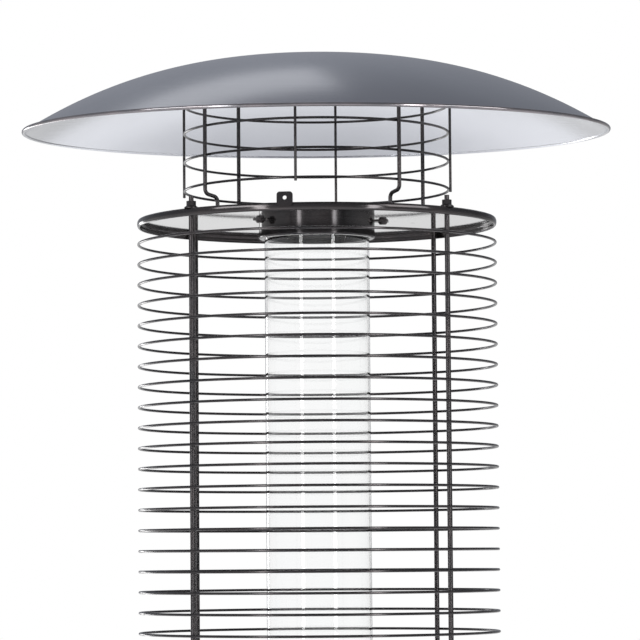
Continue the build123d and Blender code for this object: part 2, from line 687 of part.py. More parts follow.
BURNER_R = 34.0
BURNER_FLANGE_R = 46.0
AIR_R = 54.0
AIR_HOLE_R = 3.0
PILOT_R = 41.0
PILOT_BEARING = -50.0
THERMO_BEARING = -30.0
SPARK_BEARING = 35.0
PILOT_TUBE_R = 3.0
THERMO_R = 2.5
SPARK_R = 3.0
INNER_SEAT_R = 62.0
FLANGE_OUT = SHELL_R + SIT + TOP_SHEET
pilot_parts = [
    (PILOT_BEARING, PILOT_TUBE_R),
    (THERMO_BEARING, THERMO_R),
    (SPARK_BEARING, SPARK_R),
]

with BuildPart() as burner_deck:
    with BuildSketch(Plane.XY.offset(SHELL_TOP)):
        Circle(FLANGE_OUT)
        Circle(BURNER_R + SIT, mode=Mode.SUBTRACT)
        with PolarLocations(AIR_R, 24):
            Circle(AIR_HOLE_R, mode=Mode.SUBTRACT)
        for bearing, radius in pilot_parts:
            with Locations(at(PILOT_R, bearing)):
                Circle(radius + SLIP, mode=Mode.SUBTRACT)
        for bearing in ROD_BEARINGS:
            with Locations(at(ROD_R, bearing)):
                Circle(CAGE_ROD / 2 - 0.2 + SLIP / 2, mode=Mode.SUBTRACT)
    extrude(amount=TOP_SHEET)
    with BuildSketch(Plane.XY.offset(SHELL_TOP)):
        Circle(FLANGE_OUT)
        Circle(FLANGE_OUT - TOP_SHEET, mode=Mode.SUBTRACT)
    extrude(amount=-TOP_FLANGE_H)
    with BuildSketch(Plane.XZ.offset(-PANEL_Y)):
        with Locations((0, PANEL_Z)):
            RectangleRounded(PANEL_W + 2 * SIT, PANEL_H + 2 * SIT, 10)
    extrude(amount=-60, mode=Mode.SUBTRACT)
    for bearing in SCREW_BEARINGS:
        with Locations(outward(FLANGE_OUT, bearing, DECK_SCREW_Z)):
            Hole(SCREW_R + SLIP, 2 * TOP_SHEET)
keep(burner_deck.part, "burner_deck")
screw_rows = [(BASE_R + 0.02, BASE_SCREW_Z), (FLANGE_OUT + 0.02, DECK_SCREW_Z)]
wall_screws("cabinet_screws", screw_rows, SCREW_BEARINGS, SCREW_R, SCREW_HEAD)

BURNER_LOW = SHELL_TOP - 44
MIXER_R = 15.0
GAS_PIPE_R = 4.0
GAS_PIPE_Z = SHELL_TOP - 34
SCREEN_H = 70.0
SCREEN_SHEET = 1.5

# Burner body: mixing tube under the deck and a cup that opens into the screen.
with BuildPart() as burner_body:
    with BuildSketch(Plane.XY.offset(BURNER_LOW)):
        Circle(MIXER_R)
    extrude(amount=34)
    with BuildSketch(Plane.XY.offset(SHELL_TOP - 16)):
        Circle(BURNER_FLANGE_R - 4)
        for bearing, radius in pilot_parts:
            with Locations(at(PILOT_R, bearing)):
                Circle(radius + 1.5, mode=Mode.SUBTRACT)
    extrude(amount=1.5)
    with BuildSketch(Plane.XY.offset(SHELL_TOP - 16)):
        Circle(BURNER_R)
    extrude(amount=16 + TOP_SHEET + 4)
    with BuildSketch(Plane.XY.offset(BURNER_TOP + 4)):
        Circle(BURNER_R - 3)
    extrude(amount=-16, mode=Mode.SUBTRACT)
    with Locations((0, 0, BURNER_TOP)):
        Hole(MIXER_R - 4, 52)
    with Locations(Plane((0, -MIXER_R, GAS_PIPE_Z), z_dir=(0, -1, 0))):
        Hole(GAS_PIPE_R + FIT, MIXER_R)
keep(burner_body.part, "burner_body")

# Cup-shaped screen over the burner, with rows of flame ports.
SCREEN_R = BURNER_R - 3.1
SCREEN_LOW = BURNER_TOP - 2
with BuildPart() as burner_screen:
    with BuildSketch(Plane.XY.offset(SCREEN_LOW)):
        Circle(SCREEN_R)
    extrude(amount=SCREEN_H)
    fillet(burner_screen.faces().sort_by(Axis.Z)[-1].edges(), 8)
    with BuildSketch(Plane.XY.offset(SCREEN_LOW)):
        Circle(SCREEN_R - SCREEN_SHEET)
    extrude(amount=SCREEN_H - SCREEN_SHEET - 6, mode=Mode.SUBTRACT)
    for row in range(3):
        for turn in range(12):
            with Locations(outward(SCREEN_R, 30 * turn + 15 * row, BURNER_TOP + 16 + 12 * row)):
                Hole(2.5, 2 * SCREEN_SHEET)
keep(burner_screen.part, "burner_screen")

# Pilot hood, flame sensor and spark electrode stand beside the burner.
with BuildPart() as pilot_tube:
    with BuildSketch(Plane.XY.offset(SHELL_TOP - 30)):
        with Locations(at(PILOT_R, PILOT_BEARING)):
            Circle(PILOT_TUBE_R)
    extrude(amount=62)
    with BuildSketch(Plane.XY.offset(SHELL_TOP + 32)):
        with Locations(at(PILOT_R, PILOT_BEARING)):
            Circle(PILOT_TUBE_R + 2)
    extrude(amount=10)
with BuildPart() as thermocouple:
    with BuildSketch(Plane.XY.offset(SHELL_TOP - 30)):
        with Locations(at(PILOT_R, THERMO_BEARING)):
            Circle(THERMO_R)
    extrude(amount=76)
with BuildPart() as spark_electrode:
    with BuildSketch(Plane.XY.offset(SHELL_TOP - 30)):
        with Locations(at(PILOT_R, SPARK_BEARING)):
            Circle(SPARK_R)
    extrude(amount=60)
    with BuildSketch(Plane.XY.offset(SHELL_TOP + 30)):
        with Locations(at(PILOT_R, SPARK_BEARING)):
            Circle(1)
    extrude(amount=16)
keep_group([pilot_tube, thermocouple, spark_electrode], "pilot_set")

# ---- controls -----------------------------------------------------------------------------
SPINDLE_R = 4.0
VALVE_W = 44.0
VALVE_H = 40.0
VALVE_DEPTH = 34.0
VALVE_Y = PANEL_Y + 28.0
PANEL_DEPTH = 36.0
KNOB_TRAVEL = 5.0
BUTTON_Z = PANEL_Z

with BuildPart() as control_panel:
    with BuildSketch(Plane.XZ.offset(-PANEL_Y)):
        with Locations((0, PANEL_Z)):
            RectangleRounded(PANEL_W, PANEL_H, 10)
    extrude(amount=-PANEL_DEPTH)
    with BuildSketch(Plane.XZ.offset(-PANEL_Y - PANEL_SHEET)):
        with Locations((0, PANEL_Z)):
            RectangleRounded(PANEL_W - 2 * PANEL_SHEET, PANEL_H - 2 * PANEL_SHEET, 10 - PANEL_SHEET)
    extrude(amount=-PANEL_DEPTH, mode=Mode.SUBTRACT)
    with Locations(Plane((KNOB_X, PANEL_Y, PANEL_Z), z_dir=(0, -1, 0))):
        Hole(SPINDLE_R + 1, 2 * PANEL_SHEET)
    with Locations(Plane((BUTTON_X, PANEL_Y, BUTTON_Z), z_dir=(0, -1, 0))):
        Hole(BUTTON_R + 1, 2 * PANEL_SHEET)
    fillet(control_panel.faces().sort_by(Axis.Y)[0].outer_wire().edges(), 1.2)
keep(control_panel.part, "control_panel")

# Gas valve on a bracket that reaches both side walls of the panel.
BRACKET_Y = VALVE_Y - 2.0
with BuildPart() as valve_bracket:
    with BuildSketch(Plane.XZ.offset(-BRACKET_Y)):
        with Locations((0, PANEL_Z)):
            Rectangle(PANEL_W - 2 * PANEL_SHEET - 0.4, VALVE_H + 14)
        with Locations((KNOB_X, PANEL_Z)):
            Circle(9, mode=Mode.SUBTRACT)
        with Locations((BUTTON_X, BUTTON_Z)):
            Circle(BUTTON_R + 2.2, mode=Mode.SUBTRACT)
    extrude(amount=-1.9)

with BuildPart() as gas_valve:
    with BuildSketch(Plane.XZ.offset(-VALVE_Y)):
        with Locations((KNOB_X, PANEL_Z)):
            RectangleRounded(VALVE_W, VALVE_H, 4)
    extrude(amount=-VALVE_DEPTH)
    with BuildSketch(Plane.XZ.offset(-VALVE_Y)):
        with Locations((KNOB_X, PANEL_Z)):
            Circle(8)
    extrude(amount=8)
    with Locations(Plane((KNOB_X, VALVE_Y - 8, PANEL_Z), z_dir=(0, -1, 0))):
        Hole(SPINDLE_R + FIT, 30)
    with BuildSketch(Plane.XY.offset(PANEL_Z - VALVE_H / 2)):
        with Locations((KNOB_X, VALVE_Y + VALVE_DEPTH / 2)):
            Circle(7)
    extrude(amount=-8)
keep_group([gas_valve, valve_bracket], "gas_valve")

# Spindle turns in the valve, and the knob slides along it.
KNOB_GAP = KNOB_TRAVEL + 1.0
KNOB_BACK = PANEL_Y - KNOB_GAP
with BuildPart() as control_spindle:
    with BuildSketch(Plane.XZ.offset(-VALVE_Y + 8)):
        with Locations((KNOB_X, PANEL_Z)):
            Circle(SPINDLE_R)
    extrude(amount=-24)
    with BuildSketch(Plane.XZ.offset(-VALVE_Y + 8)):
        with Locations((KNOB_X, PANEL_Z)):
            Circle(SPINDLE_R)
    extrude(amount=-KNOB_BACK + VALVE_Y - 8 + 12)
keep(control_spindle.part, "control_spindle")

with BuildPart() as control_knob:
    with BuildSketch(Plane.XZ.offset(-KNOB_BACK)):
        with Locations((KNOB_X, PANEL_Z)):
            Circle(KNOB_D / 2)
    extrude(amount=8, taper=8)
    with BuildSketch(Plane.XZ.offset(-KNOB_BACK)):
        with Locations((KNOB_X, PANEL_Z)):
            RectangleRounded(14, KNOB_D - 8, 5)
    extrude(amount=KNOB_T)
    fillet(control_knob.faces().sort_by(Axis.Y)[0].outer_wire().edges(), 2)
    with BuildSketch(Plane.XZ.offset(-KNOB_BACK)):
        with Locations((KNOB_X, PANEL_Z)):
            Circle(SPINDLE_R + FIT)
    extrude(amount=12 + KNOB_TRAVEL + 1, mode=Mode.SUBTRACT)
keep(control_knob.part, "control_knob")

# Igniter: a button slides in a sleeve behind the panel.
SLEEVE_DEPTH = 34.0
with BuildPart() as igniter_body:
    with BuildSketch(Plane.XZ.offset(-PANEL_Y - PANEL_SHEET - 0.02)):
        with Locations((BUTTON_X, BUTTON_Z)):
            Circle(BUTTON_R + 4)
    extrude(amount=-6)
    with BuildSketch(Plane.XZ.offset(-PANEL_Y - PANEL_SHEET - 0.02)):
        with Locations((BUTTON_X, BUTTON_Z)):
            Circle(BUTTON_R + 2)
    extrude(amount=-SLEEVE_DEPTH)
    with BuildSketch(Plane.XZ.offset(-PANEL_Y)):
        with Locations((BUTTON_X, BUTTON_Z)):
            Circle(BUTTON_R + FIT)
    extrude(amount=-SLEEVE_DEPTH + 6, mode=Mode.SUBTRACT)
keep(igniter_body.part, "igniter_body")
with BuildPart() as igniter_button:
    with BuildSketch(Plane.XZ.offset(-PANEL_Y + 8)):
        with Locations((BUTTON_X, BUTTON_Z)):
            Circle(BUTTON_R)
    extrude(amount=-26)
    fillet(igniter_button.faces().sort_by(Axis.Y)[0].outer_wire().edges(), 1.5)
keep(igniter_button.part, "igniter_button")

# Pipe from the valve to the burner, pilot line, sensor lead, spark lead and gas hose.
valve_back = VALVE_Y + VALVE_DEPTH + 0.05
burner_pipe = pipe(
    GAS_PIPE_R,
    [
        (KNOB_X, valve_back, PANEL_Z + 8),
        (KNOB_X, valve_back + 50, PANEL_Z + 8),
        (0, -MIXER_R - 55, GAS_PIPE_Z),
        (0, -MIXER_R + 3, GAS_PIPE_Z),
    ],
    25,
)
keep(burner_pipe.part, "burner_pipe")


def lead(radius, start, bearing, drop):
    """Thin line from the back of the valve or igniter up to a part beside the burner."""
    x, y, z = at(PILOT_R, bearing, SHELL_TOP - 30.05)
    return pipe(radius, [start, (start[0], start[1] + 30, start[2]), (x, y - 28, drop), (x, y, drop), (x, y, z)], 10)


pilot_line = lead(2.0, (KNOB_X - 14, valve_back, PANEL_Z - 6), PILOT_BEARING, PANEL_Z - 8)
thermocouple_lead = lead(1.5, (KNOB_X + 14, valve_back, PANEL_Z - 14), THERMO_BEARING, PANEL_Z - 12)
igniter_back = PANEL_Y + PANEL_SHEET + SLEEVE_DEPTH + 0.07
spark_lead = lead(1.5, (BUTTON_X, igniter_back, BUTTON_Z), SPARK_BEARING, PANEL_Z - 8)
keep_group([pilot_line, thermocouple_lead, spark_lead], "burner_leads")

valve_mid_y = VALVE_Y + VALVE_DEPTH / 2
gas_hose = pipe(
    HOSE_R,
    [
        (HOSE_X, 0, OUTLET_Z + 28.05),
        (HOSE_X, 0, SHIELD_Z + 14),
        (HOSE_X + 8, valve_mid_y + 40, SHIELD_Z + 14),
        (KNOB_X, valve_mid_y, SHIELD_Z + 14),
        (KNOB_X, valve_mid_y, PANEL_Z - VALVE_H / 2 - 8.05),
    ],
    8,
)
keep(gas_hose.part, "gas_hose")

# Tilt switch on the underside of the burner deck.
with BuildPart() as tilt_switch:
    with BuildSketch(Plane.XY.offset(SHELL_TOP - 0.05)):
        with Locations((110, 60)):
            RectangleRounded(44, 26, 3)
    extrude(amount=-24)
keep(tilt_switch.part, "tilt_switch")

# ---- flame tube --------------------------------------------------------------------------
with BuildPart() as tube_seat:
    with BuildSketch(Plane.XY.offset(BURNER_TOP)):
        Circle(TUBE_R + SIT + SEAT_WALL)
        Circle(INNER_SEAT_R, mode=Mode.SUBTRACT)
    extrude(amount=SEAT_FLOOR)
    with BuildSketch(Plane.XY.offset(BURNER_TOP)):
        Circle(TUBE_R + SIT + SEAT_WALL)
        Circle(TUBE_R + SIT, mode=Mode.SUBTRACT)
    extrude(amount=SEAT_H)
keep(tube_seat.part, "tube_seat")
with BuildPart() as tube_gaskets:
    for low, height in ((BURNER_TOP + SEAT_FLOOR, GASKET_T), (TUBE_TOP, TOP_GASKET_T)):
        with BuildSketch(Plane.XY.offset(low)):
            Circle(TUBE_R)
            Circle(TUBE_IN - 1.5, mode=Mode.SUBTRACT)
        extrude(amount=height)
keep(tube_gaskets.part, "tube_gaskets")
with BuildPart() as glass_tube:
    with BuildSketch(Plane.XY.offset(TUBE_LOW)):
        Circle(TUBE_R)
        Circle(TUBE_IN, mode=Mode.SUBTRACT)
    extrude(amount=TUBE_LENGTH)
keep(glass_tube.part, "glass_tube")

COLLAR_SCREWS = (82, 191, 301)
COLLAR_TAB_R = 86.0
COLLAR_SCREW_R = 2.5
with BuildPart() as tube_collar:
    with BuildSketch(Plane.XY.offset(DECK_LOW)):
        Circle(COLLAR_D / 2)
        Circle(TUBE_R + SIT, mode=Mode.SUBTRACT)
    extrude(amount=-COLLAR_H)
    fillet(tube_collar.faces().sort_by(Axis.Z)[0].outer_wire().edges(), 2.5)
    for bearing in COLLAR_SCREWS:
        with BuildSketch(Plane.XY.offset(DECK_LOW)):
            with Locations(Location(at(COLLAR_TAB_R - 4, bearing), (0, 0, bearing))):
                RectangleRounded(16, 22, 3)
            with Locations(at(COLLAR_TAB_R, bearing)):
                Circle(COLLAR_SCREW_R + SLIP, mode=Mode.SUBTRACT)
            Circle(COLLAR_D / 2 - 1, mode=Mode.SUBTRACT)
        extrude(amount=-1.5)
keep(tube_collar.part, "tube_collar")

with BuildPart() as collar_screws:
    for bearing in COLLAR_SCREWS:
        with BuildSketch(Plane.XY.offset(DECK_LOW - 1.5)):
            with Locations(at(COLLAR_TAB_R, bearing)):
                Circle(6.5)
        extrude(amount=-3.2, taper=35)
        with BuildSketch(Plane.XY.offset(DECK_LOW - 1.5)):
            with Locations(at(COLLAR_TAB_R, bearing)):
                Circle(COLLAR_SCREW_R)
        extrude(amount=1.5 + DECK_SHEET + 3)
keep(collar_screws.part, "collar_screws")

# ---- deck on top of the cage ----------------------------------------------------------------
STUD_R = 3.0
DECK_SLOT = (98, 127)    # bearing and radius of the drain slot
with BuildPart() as deck_plate:
    with BuildSketch(Plane.XY.offset(DECK_LOW)):
        Circle(DECK_R - RIM_SHEET - 0.2)
        Circle(DECK_HOLE_R, mode=Mode.SUBTRACT)
        for bearing in ROD_BEARINGS:
            with Locations(at(ROD_R, bearing)):
                Circle(STUD_R + 0.1, mode=Mode.SUBTRACT)
        for bearing in COLLAR_SCREWS:
            with Locations(at(COLLAR_TAB_R, bearing)):
                Circle(COLLAR_SCREW_R + SLIP, mode=Mode.SUBTRACT)
        with Locations(at(DECK_SLOT[1], DECK_SLOT[0])):
            SlotOverall(6, 2, mode=Mode.SUBTRACT)
    extrude(amount=DECK_SHEET)
keep(deck_plate.part, "deck_plate")

# Dark rim with a lip that lies on the plate under the rod nuts.
with BuildPart() as deck_rim:
    with BuildSketch(Plane.XY.offset(RIM_TOP)):
        Circle(DECK_R)
        Circle(DECK_R - RIM_SHEET, mode=Mode.SUBTRACT)
    extrude(amount=-RIM_H)
    with BuildSketch(Plane.XY.offset(RIM_TOP)):
        Circle(DECK_R)
        Circle(DECK_R - RIM_LIP, mode=Mode.SUBTRACT)
        for bearing in ROD_BEARINGS:
            with Locations(at(ROD_R, bearing)):
                Circle(STUD_R + 0.1, mode=Mode.SUBTRACT)
    extrude(amount=-LIP_SHEET)
    outer = deck_rim.edges().filter_by(GeomType.CIRCLE).filter_by(lambda e: e.radius > DECK_R - 0.1)
    fillet(outer, 0.7)
keep(deck_rim.part, "deck_rim")

# Lug with a hole for a tether, on the front of the rim.
LUG_BEARING = -10.8
LUG_W = 20.0
LUG_H = 18.0
LUG_T = 1.5
LUG_HOLE_R = 2.5
LUG_LOW = RIM_TOP - 5
with BuildPart() as tether_lug:
    with BuildSketch(outward(DECK_R + 0.05, LUG_BEARING, LUG_LOW + LUG_H / 2)):
        RectangleRounded(LUG_W, LUG_H, 4)
        with Locations((0, 1.5)):
            Circle(LUG_HOLE_R, mode=Mode.SUBTRACT)
    extrude(amount=LUG_T)
keep(tether_lug.part, "tether_lug")

# ---- cage -----------------------------------------------------------------------------------
ROD_TAIL = 14.0
SHOULDER_R = 4.4
with BuildPart() as cage_rods:
    for bearing in ROD_BEARINGS:
        place = at(ROD_R, bearing)
        with BuildSketch(Plane.XY.offset(BURNER_TOP)):
            with Locations(place):
                Circle(CAGE_ROD / 2)
        extrude(amount=DECK_LOW - BURNER_TOP)
        with BuildSketch(Plane.XY.offset(SHELL_TOP - ROD_TAIL)):
            with Locations(place):
                Circle(STUD_R)
        extrude(amount=RIM_TOP + ROD_TAIL + 1 - SHELL_TOP + ROD_TAIL)
        with BuildSketch(Plane.XY.offset(DECK_LOW)):
            with Locations(place):
                Circle(SHOULDER_R)
        extrude(amount=-3)
        with BuildSketch(Plane.XY.offset(BURNER_TOP)):
            with Locations(place):
                Circle(SHOULDER_R)
        extrude(amount=3)
keep(cage_rods.part, "cage_rods")

# Flange nuts: a flared foot and a hexagon.
FLARE_R = 8.8
FLARE_H = 3.0
with BuildPart() as rod_nuts:
    for bearing in ROD_BEARINGS:
        with BuildSketch(Plane.XY.offset(RIM_TOP)):
            with Locations(at(ROD_R, bearing)):
                Circle(FLARE_R)
                Circle(STUD_R + FIT, mode=Mode.SUBTRACT)
        extrude(amount=1)
        with BuildSketch(Plane.XY.offset(RIM_TOP + 1)):
            with Locations(at(ROD_R, bearing)):
                Circle(FLARE_R)
        extrude(amount=FLARE_H - 1, taper=50)
        with BuildSketch(Plane.XY.offset(RIM_TOP + 1)):
            with Locations(at(ROD_R, bearing)):
                RegularPolygon(5.2, 6, major_radius=False)
        extrude(amount=8)
        with Locations(at(ROD_R, bearing, RIM_TOP + 9)):
            Hole(STUD_R + FIT, 9)
low_nuts = nuts([at(ROD_R, bearing, SHELL_TOP - 5.05) for bearing in ROD_BEARINGS], 10, 5, STUD_R + FIT)
keep_group([rod_nuts, low_nuts], "rod_nuts")

# The rings are grouped in two nodes, upper and lower, to keep each file small.
half = (RING_COUNT + 1) // 2
for name, indexes in (("cage_rings_upper", range(half)), ("cage_rings_lower", range(half, RING_COUNT))):
    heights = [RING_TOP - index * CAGE_PITCH for index in indexes]
    keep(wire_rings(RING_R, CAGE_WIRE, heights).part, name)

# ---- upper guard ------------------------------------------------------------------------------
guard_rings = wire_rings(GUARD_R, GUARD_WIRE, [GUARD_LOW + index * GUARD_PITCH for index in range(GUARD_RINGS)])
keep(guard_rings.part, "guard_rings")


def carrier_height(y):
    """Height of the tilted carrier's underside at a place."""
    return HOOD_Z + CARRIER_H / cos(TILT) + y * tan(TILT)


with BuildPart() as guard_uprights:
    for bearing in THIN_BEARINGS:
        x, y, low = at(THIN_R, bearing, GUARD_LOW + GUARD_PITCH - 5)
        with BuildSketch(Plane.XY.offset(low)):
            with Locations((x, y)):
                Circle(GUARD_THIN / 2)
        extrude(amount=GUARD_LOW + (GUARD_RINGS - 1) * GUARD_PITCH + 12 - low)
keep(guard_uprights.part, "guard_uprights")

LEG_BEND = 7.0
STEP_TOP = DECK_TOP + FOOT_STEP_H
STEP_LOW = STEP_TOP - 4
LEG_OVER = 8.0
with BuildPart() as guard_legs:
    for bearing in LEG_BEARINGS:
        top = carrier_height(at(LEG_R, bearing)[1]) + CARRIER_SHEET + LEG_OVER
        with BuildLine() as route:
            FilletPolyline(
                at(LEG_R, bearing, top),
                at(LEG_R, bearing, STEP_TOP),
                at(FOOT_RADIUS, bearing, STEP_LOW),
                at(FOOT_RADIUS, bearing, DECK_TOP),
                radius=LEG_BEND,
            )
        with BuildSketch(Plane(route.line @ 0, z_dir=route.line % 0)):
            Circle(GUARD_LEG / 2)
        sweep(path=route.line)
keep(guard_legs.part, "guard_legs")
# ---- reflector and what carries it --------------------------------------------------------------
CARRIER_R = LEG_R + 9
CARRIER_HOLE_R = 28.0
CARRIER_HOLES_AT = 95.0
BOLT_R = 4.0
with BuildPart() as reflector_carrier:
    with BuildSketch(HOOD_PLAN.offset(CARRIER_H)):
        Circle(CARRIER_R)
        Circle(BOLT_R + SLIP, mode=Mode.SUBTRACT)
        with PolarLocations(CARRIER_HOLES_AT, 6):
            Circle(CARRIER_HOLE_R, mode=Mode.SUBTRACT)
        for bearing in LEG_BEARINGS:
            x, y, _ = at(LEG_R, bearing)
            with Locations((x, y / cos(TILT) + CARRIER_H * tan(TILT))):
                Circle(GUARD_LEG / 2 + 0.3, mode=Mode.SUBTRACT)
    extrude(amount=CARRIER_SHEET)
keep(reflector_carrier.part, "reflector_carrier")

carrier_nut_places = []
for bearing in LEG_BEARINGS:
    x, y, _ = at(LEG_R, bearing)
    carrier_nut_places.append((x, y, carrier_height(y) + CARRIER_SHEET + 0.35))
    carrier_nut_places.append((x, y, carrier_height(y) - 4.35))
carrier_nuts = nuts(carrier_nut_places, 8, 4, GUARD_LEG / 2 + FIT)
foot_nuts = nuts([at(FOOT_RADIUS, bearing, DECK_TOP) for bearing in LEG_BEARINGS], 10, 5, GUARD_LEG / 2 + FIT)
keep_group([carrier_nuts, foot_nuts], "guard_nuts")


def dome(radius):
    """Height of the dome's outside over its rim."""
    return HOOD_RISE * (1 - (radius / HOOD_R) ** HOOD_POWER)


DOME_STEPS = (0, 0.25, 0.45, 0.62, 0.78, 0.9, 1)
BEAD_R = HOOD_BEAD / 2
BEAD_MID = HOOD_R - BEAD_R
with BuildPart() as reflector:
    with BuildSketch(HOOD_SECTION):
        with BuildLine():
            outside = [(BEAD_MID * step, dome(BEAD_MID * step)) for step in DOME_STEPS]
            inside = [(x, z - HOOD_SHEET) for x, z in outside]
            foot_slope = HOOD_RISE * HOOD_POWER / HOOD_R
            Spline(*outside, tangents=[(1, 0), (1, -foot_slope)])
            Line(outside[-1], inside[-1])
            Spline(*inside, tangents=[(1, 0), (1, -foot_slope)])
            Line(inside[0], outside[0])
        make_face()
        with Locations((BEAD_MID, BEAD_R)):
            Circle(BEAD_R)
    revolve(axis=HOOD_AXIS)
    with BuildSketch(HOOD_PLAN.offset(HOOD_RISE - 20)):
        Circle(BOLT_R + SLIP)
    extrude(amount=40, mode=Mode.SUBTRACT)
keep(reflector.part, "reflector")

SPACER_R = 11.0
CARRIER_TOP = CARRIER_H + CARRIER_SHEET
CROWN = HOOD_RISE - HOOD_SHEET
with BuildPart() as reflector_spacer:
    with BuildSketch(HOOD_PLAN.offset(CARRIER_TOP)):
        Circle(SPACER_R)
        Circle(BOLT_R + SLIP, mode=Mode.SUBTRACT)
    extrude(amount=CROWN - CARRIER_TOP - 0.1)
keep(reflector_spacer.part, "reflector_spacer")
with BuildPart() as reflector_bolt:
    with BuildSketch(HOOD_PLAN.offset(CARRIER_H)):
        RegularPolygon(6.5, 6, major_radius=False)
    extrude(amount=-5.3)
    with BuildSketch(HOOD_PLAN.offset(CARRIER_H)):
        Circle(BOLT_R)
    extrude(amount=HOOD_RISE - CARRIER_H + 6)
with BuildPart() as reflector_nut:
    with BuildSketch(HOOD_PLAN.offset(HOOD_RISE + 0.05)):
        Circle(10)
        Circle(BOLT_R + FIT, mode=Mode.SUBTRACT)
    extrude(amount=1.2)
    with BuildSketch(HOOD_PLAN.offset(HOOD_RISE + 1.2)):
        RegularPolygon(6.5, 6, major_radius=False)
        Circle(BOLT_R + FIT, mode=Mode.SUBTRACT)
    extrude(amount=5)
keep_group([reflector_bolt, reflector_nut], "reflector_bolt")
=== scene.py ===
"""Gas patio heater with a glass flame tube: finishes, smooth spun and drawn pieces, floor, light and camera."""

import json
import math

import bmesh
import bpy
from bpy.props import FloatProperty, FloatVectorProperty, IntProperty, PointerProperty
from mathutils import Matrix, Vector


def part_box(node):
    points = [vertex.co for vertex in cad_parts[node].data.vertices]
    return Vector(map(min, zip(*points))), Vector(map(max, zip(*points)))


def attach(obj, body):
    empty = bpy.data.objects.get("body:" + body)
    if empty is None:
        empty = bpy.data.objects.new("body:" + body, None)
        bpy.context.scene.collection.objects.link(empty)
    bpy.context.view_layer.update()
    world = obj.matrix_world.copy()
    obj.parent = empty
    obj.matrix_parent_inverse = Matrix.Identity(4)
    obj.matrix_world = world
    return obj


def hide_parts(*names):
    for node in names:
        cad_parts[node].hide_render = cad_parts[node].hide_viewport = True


bl_info = {
    "name": "Patio Heater",
    "version": (1, 0, 0),
    "blender": (4, 5, 0),
    "location": "3D View > Sidebar > Heater",
    "description": "Builds the visible pieces and finishes of a gas patio heater with a glass flame tube",
    "category": "Add Mesh",
}

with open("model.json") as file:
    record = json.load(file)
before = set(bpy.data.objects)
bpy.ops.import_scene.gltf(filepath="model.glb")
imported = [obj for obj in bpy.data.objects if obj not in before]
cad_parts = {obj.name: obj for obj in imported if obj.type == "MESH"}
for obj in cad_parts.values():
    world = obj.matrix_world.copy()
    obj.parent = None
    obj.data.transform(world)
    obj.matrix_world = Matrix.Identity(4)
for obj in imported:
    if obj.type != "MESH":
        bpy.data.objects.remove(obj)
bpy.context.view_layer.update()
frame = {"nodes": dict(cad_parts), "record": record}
NODES = frame["nodes"]

TAU = 2 * math.pi
MM = 0.001
BODY = "heater"


def reach(node):
    """Half the width of a node's box along x."""
    low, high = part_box(node)
    return (high.x - low.x) / 2


DECK_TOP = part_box("deck_plate")[1].z
CAGE_R = reach("deck_rim")
HOOD_R = reach("reflector")
HOOD_PIVOT = Vector((0, 0, DECK_TOP + 112.8 * MM))
HOOD_TILT = math.radians(2)
CREASE = math.radians(35)
GUARD_RINGS = 5
UPRIGHT = 3.5 * MM
UPRIGHT_BEARING = -9.7
UPRIGHT_REACH = 57 * MM  # above the reflector's rim plane, to just under the carrier plate
DOME_BORE = 4.2 * MM
DOME_STEPS = 36
TUBE_WALL = 3 * MM


class HeaterSizes(bpy.types.PropertyGroup):
    """Sizes of the drawn and spun pieces."""

    cage_wire: FloatProperty(
        name="Cage wire", description="Diameter of the cage's ring wire", default=3.4 * MM, min=0.001, unit="LENGTH"
    )
    cage_pitch: FloatProperty(
        name="Cage pitch", description="Step from one cage ring to the next", default=26.35 * MM, unit="LENGTH"
    )
    guard_wire: FloatProperty(
        name="Guard wire", description="Diameter of the guard's ring wire", default=3.3 * MM, unit="LENGTH"
    )
    guard_pitch: FloatProperty(
        name="Guard pitch", description="Step from one guard ring to the next", default=37.2 * MM, unit="LENGTH"
    )
    dome_rise: FloatProperty(
        name="Dome rise",
        description="Height of the reflector's crown over its rim",
        default=100.6 * MM, unit="LENGTH",
    )
    dome_power: FloatProperty(
        name="Dome fullness", description="Exponent of the reflector's section", default=2.4, min=1.5, max=4.0
    )
    dome_sheet: FloatProperty(
        name="Dome sheet", description="Thickness of the reflector's sheet", default=1.0 * MM, unit="LENGTH"
    )
    bead: FloatProperty(
        name="Rolled edge", description="Diameter of the reflector's rolled edge", default=5.0 * MM, unit="LENGTH"
    )
    ring_steps: IntProperty(name="Ring steps", description="Steps round a large ring", default=144, min=24, max=360)
    wire_sides: IntProperty(name="Wire sides", description="Sides of a wire's section", default=10, min=6, max=24)


class HeaterFinishes(bpy.types.PropertyGroup):
    """Colours of the finishes."""

    wire: FloatVectorProperty(
        name="Wire", description="Enamel on cage, guard and rim", subtype="COLOR", default=(0.044, 0.043, 0.045)
    )
    sheet: FloatVectorProperty(
        name="Reflector sheet", description="Bare metal of the reflector", subtype="COLOR", default=(0.62, 0.63, 0.66)
    )
    cabinet: FloatVectorProperty(
        name="Cabinet", description="Powder coat on the cabinet", subtype="COLOR", default=(0.030, 0.030, 0.033)
    )
    cylinder: FloatVectorProperty(
        name="Gas cylinder", description="Paint on the gas cylinder", subtype="COLOR", default=(0.55, 0.57, 0.58)
    )
    button: FloatVectorProperty(
        name="Igniter button",
        description="Plastic of the igniter button",
        subtype="COLOR", default=(0.42, 0.02, 0.015),
    )


def sizes():
    return bpy.context.scene.heater_sizes


def colours():
    return bpy.context.scene.heater_finishes


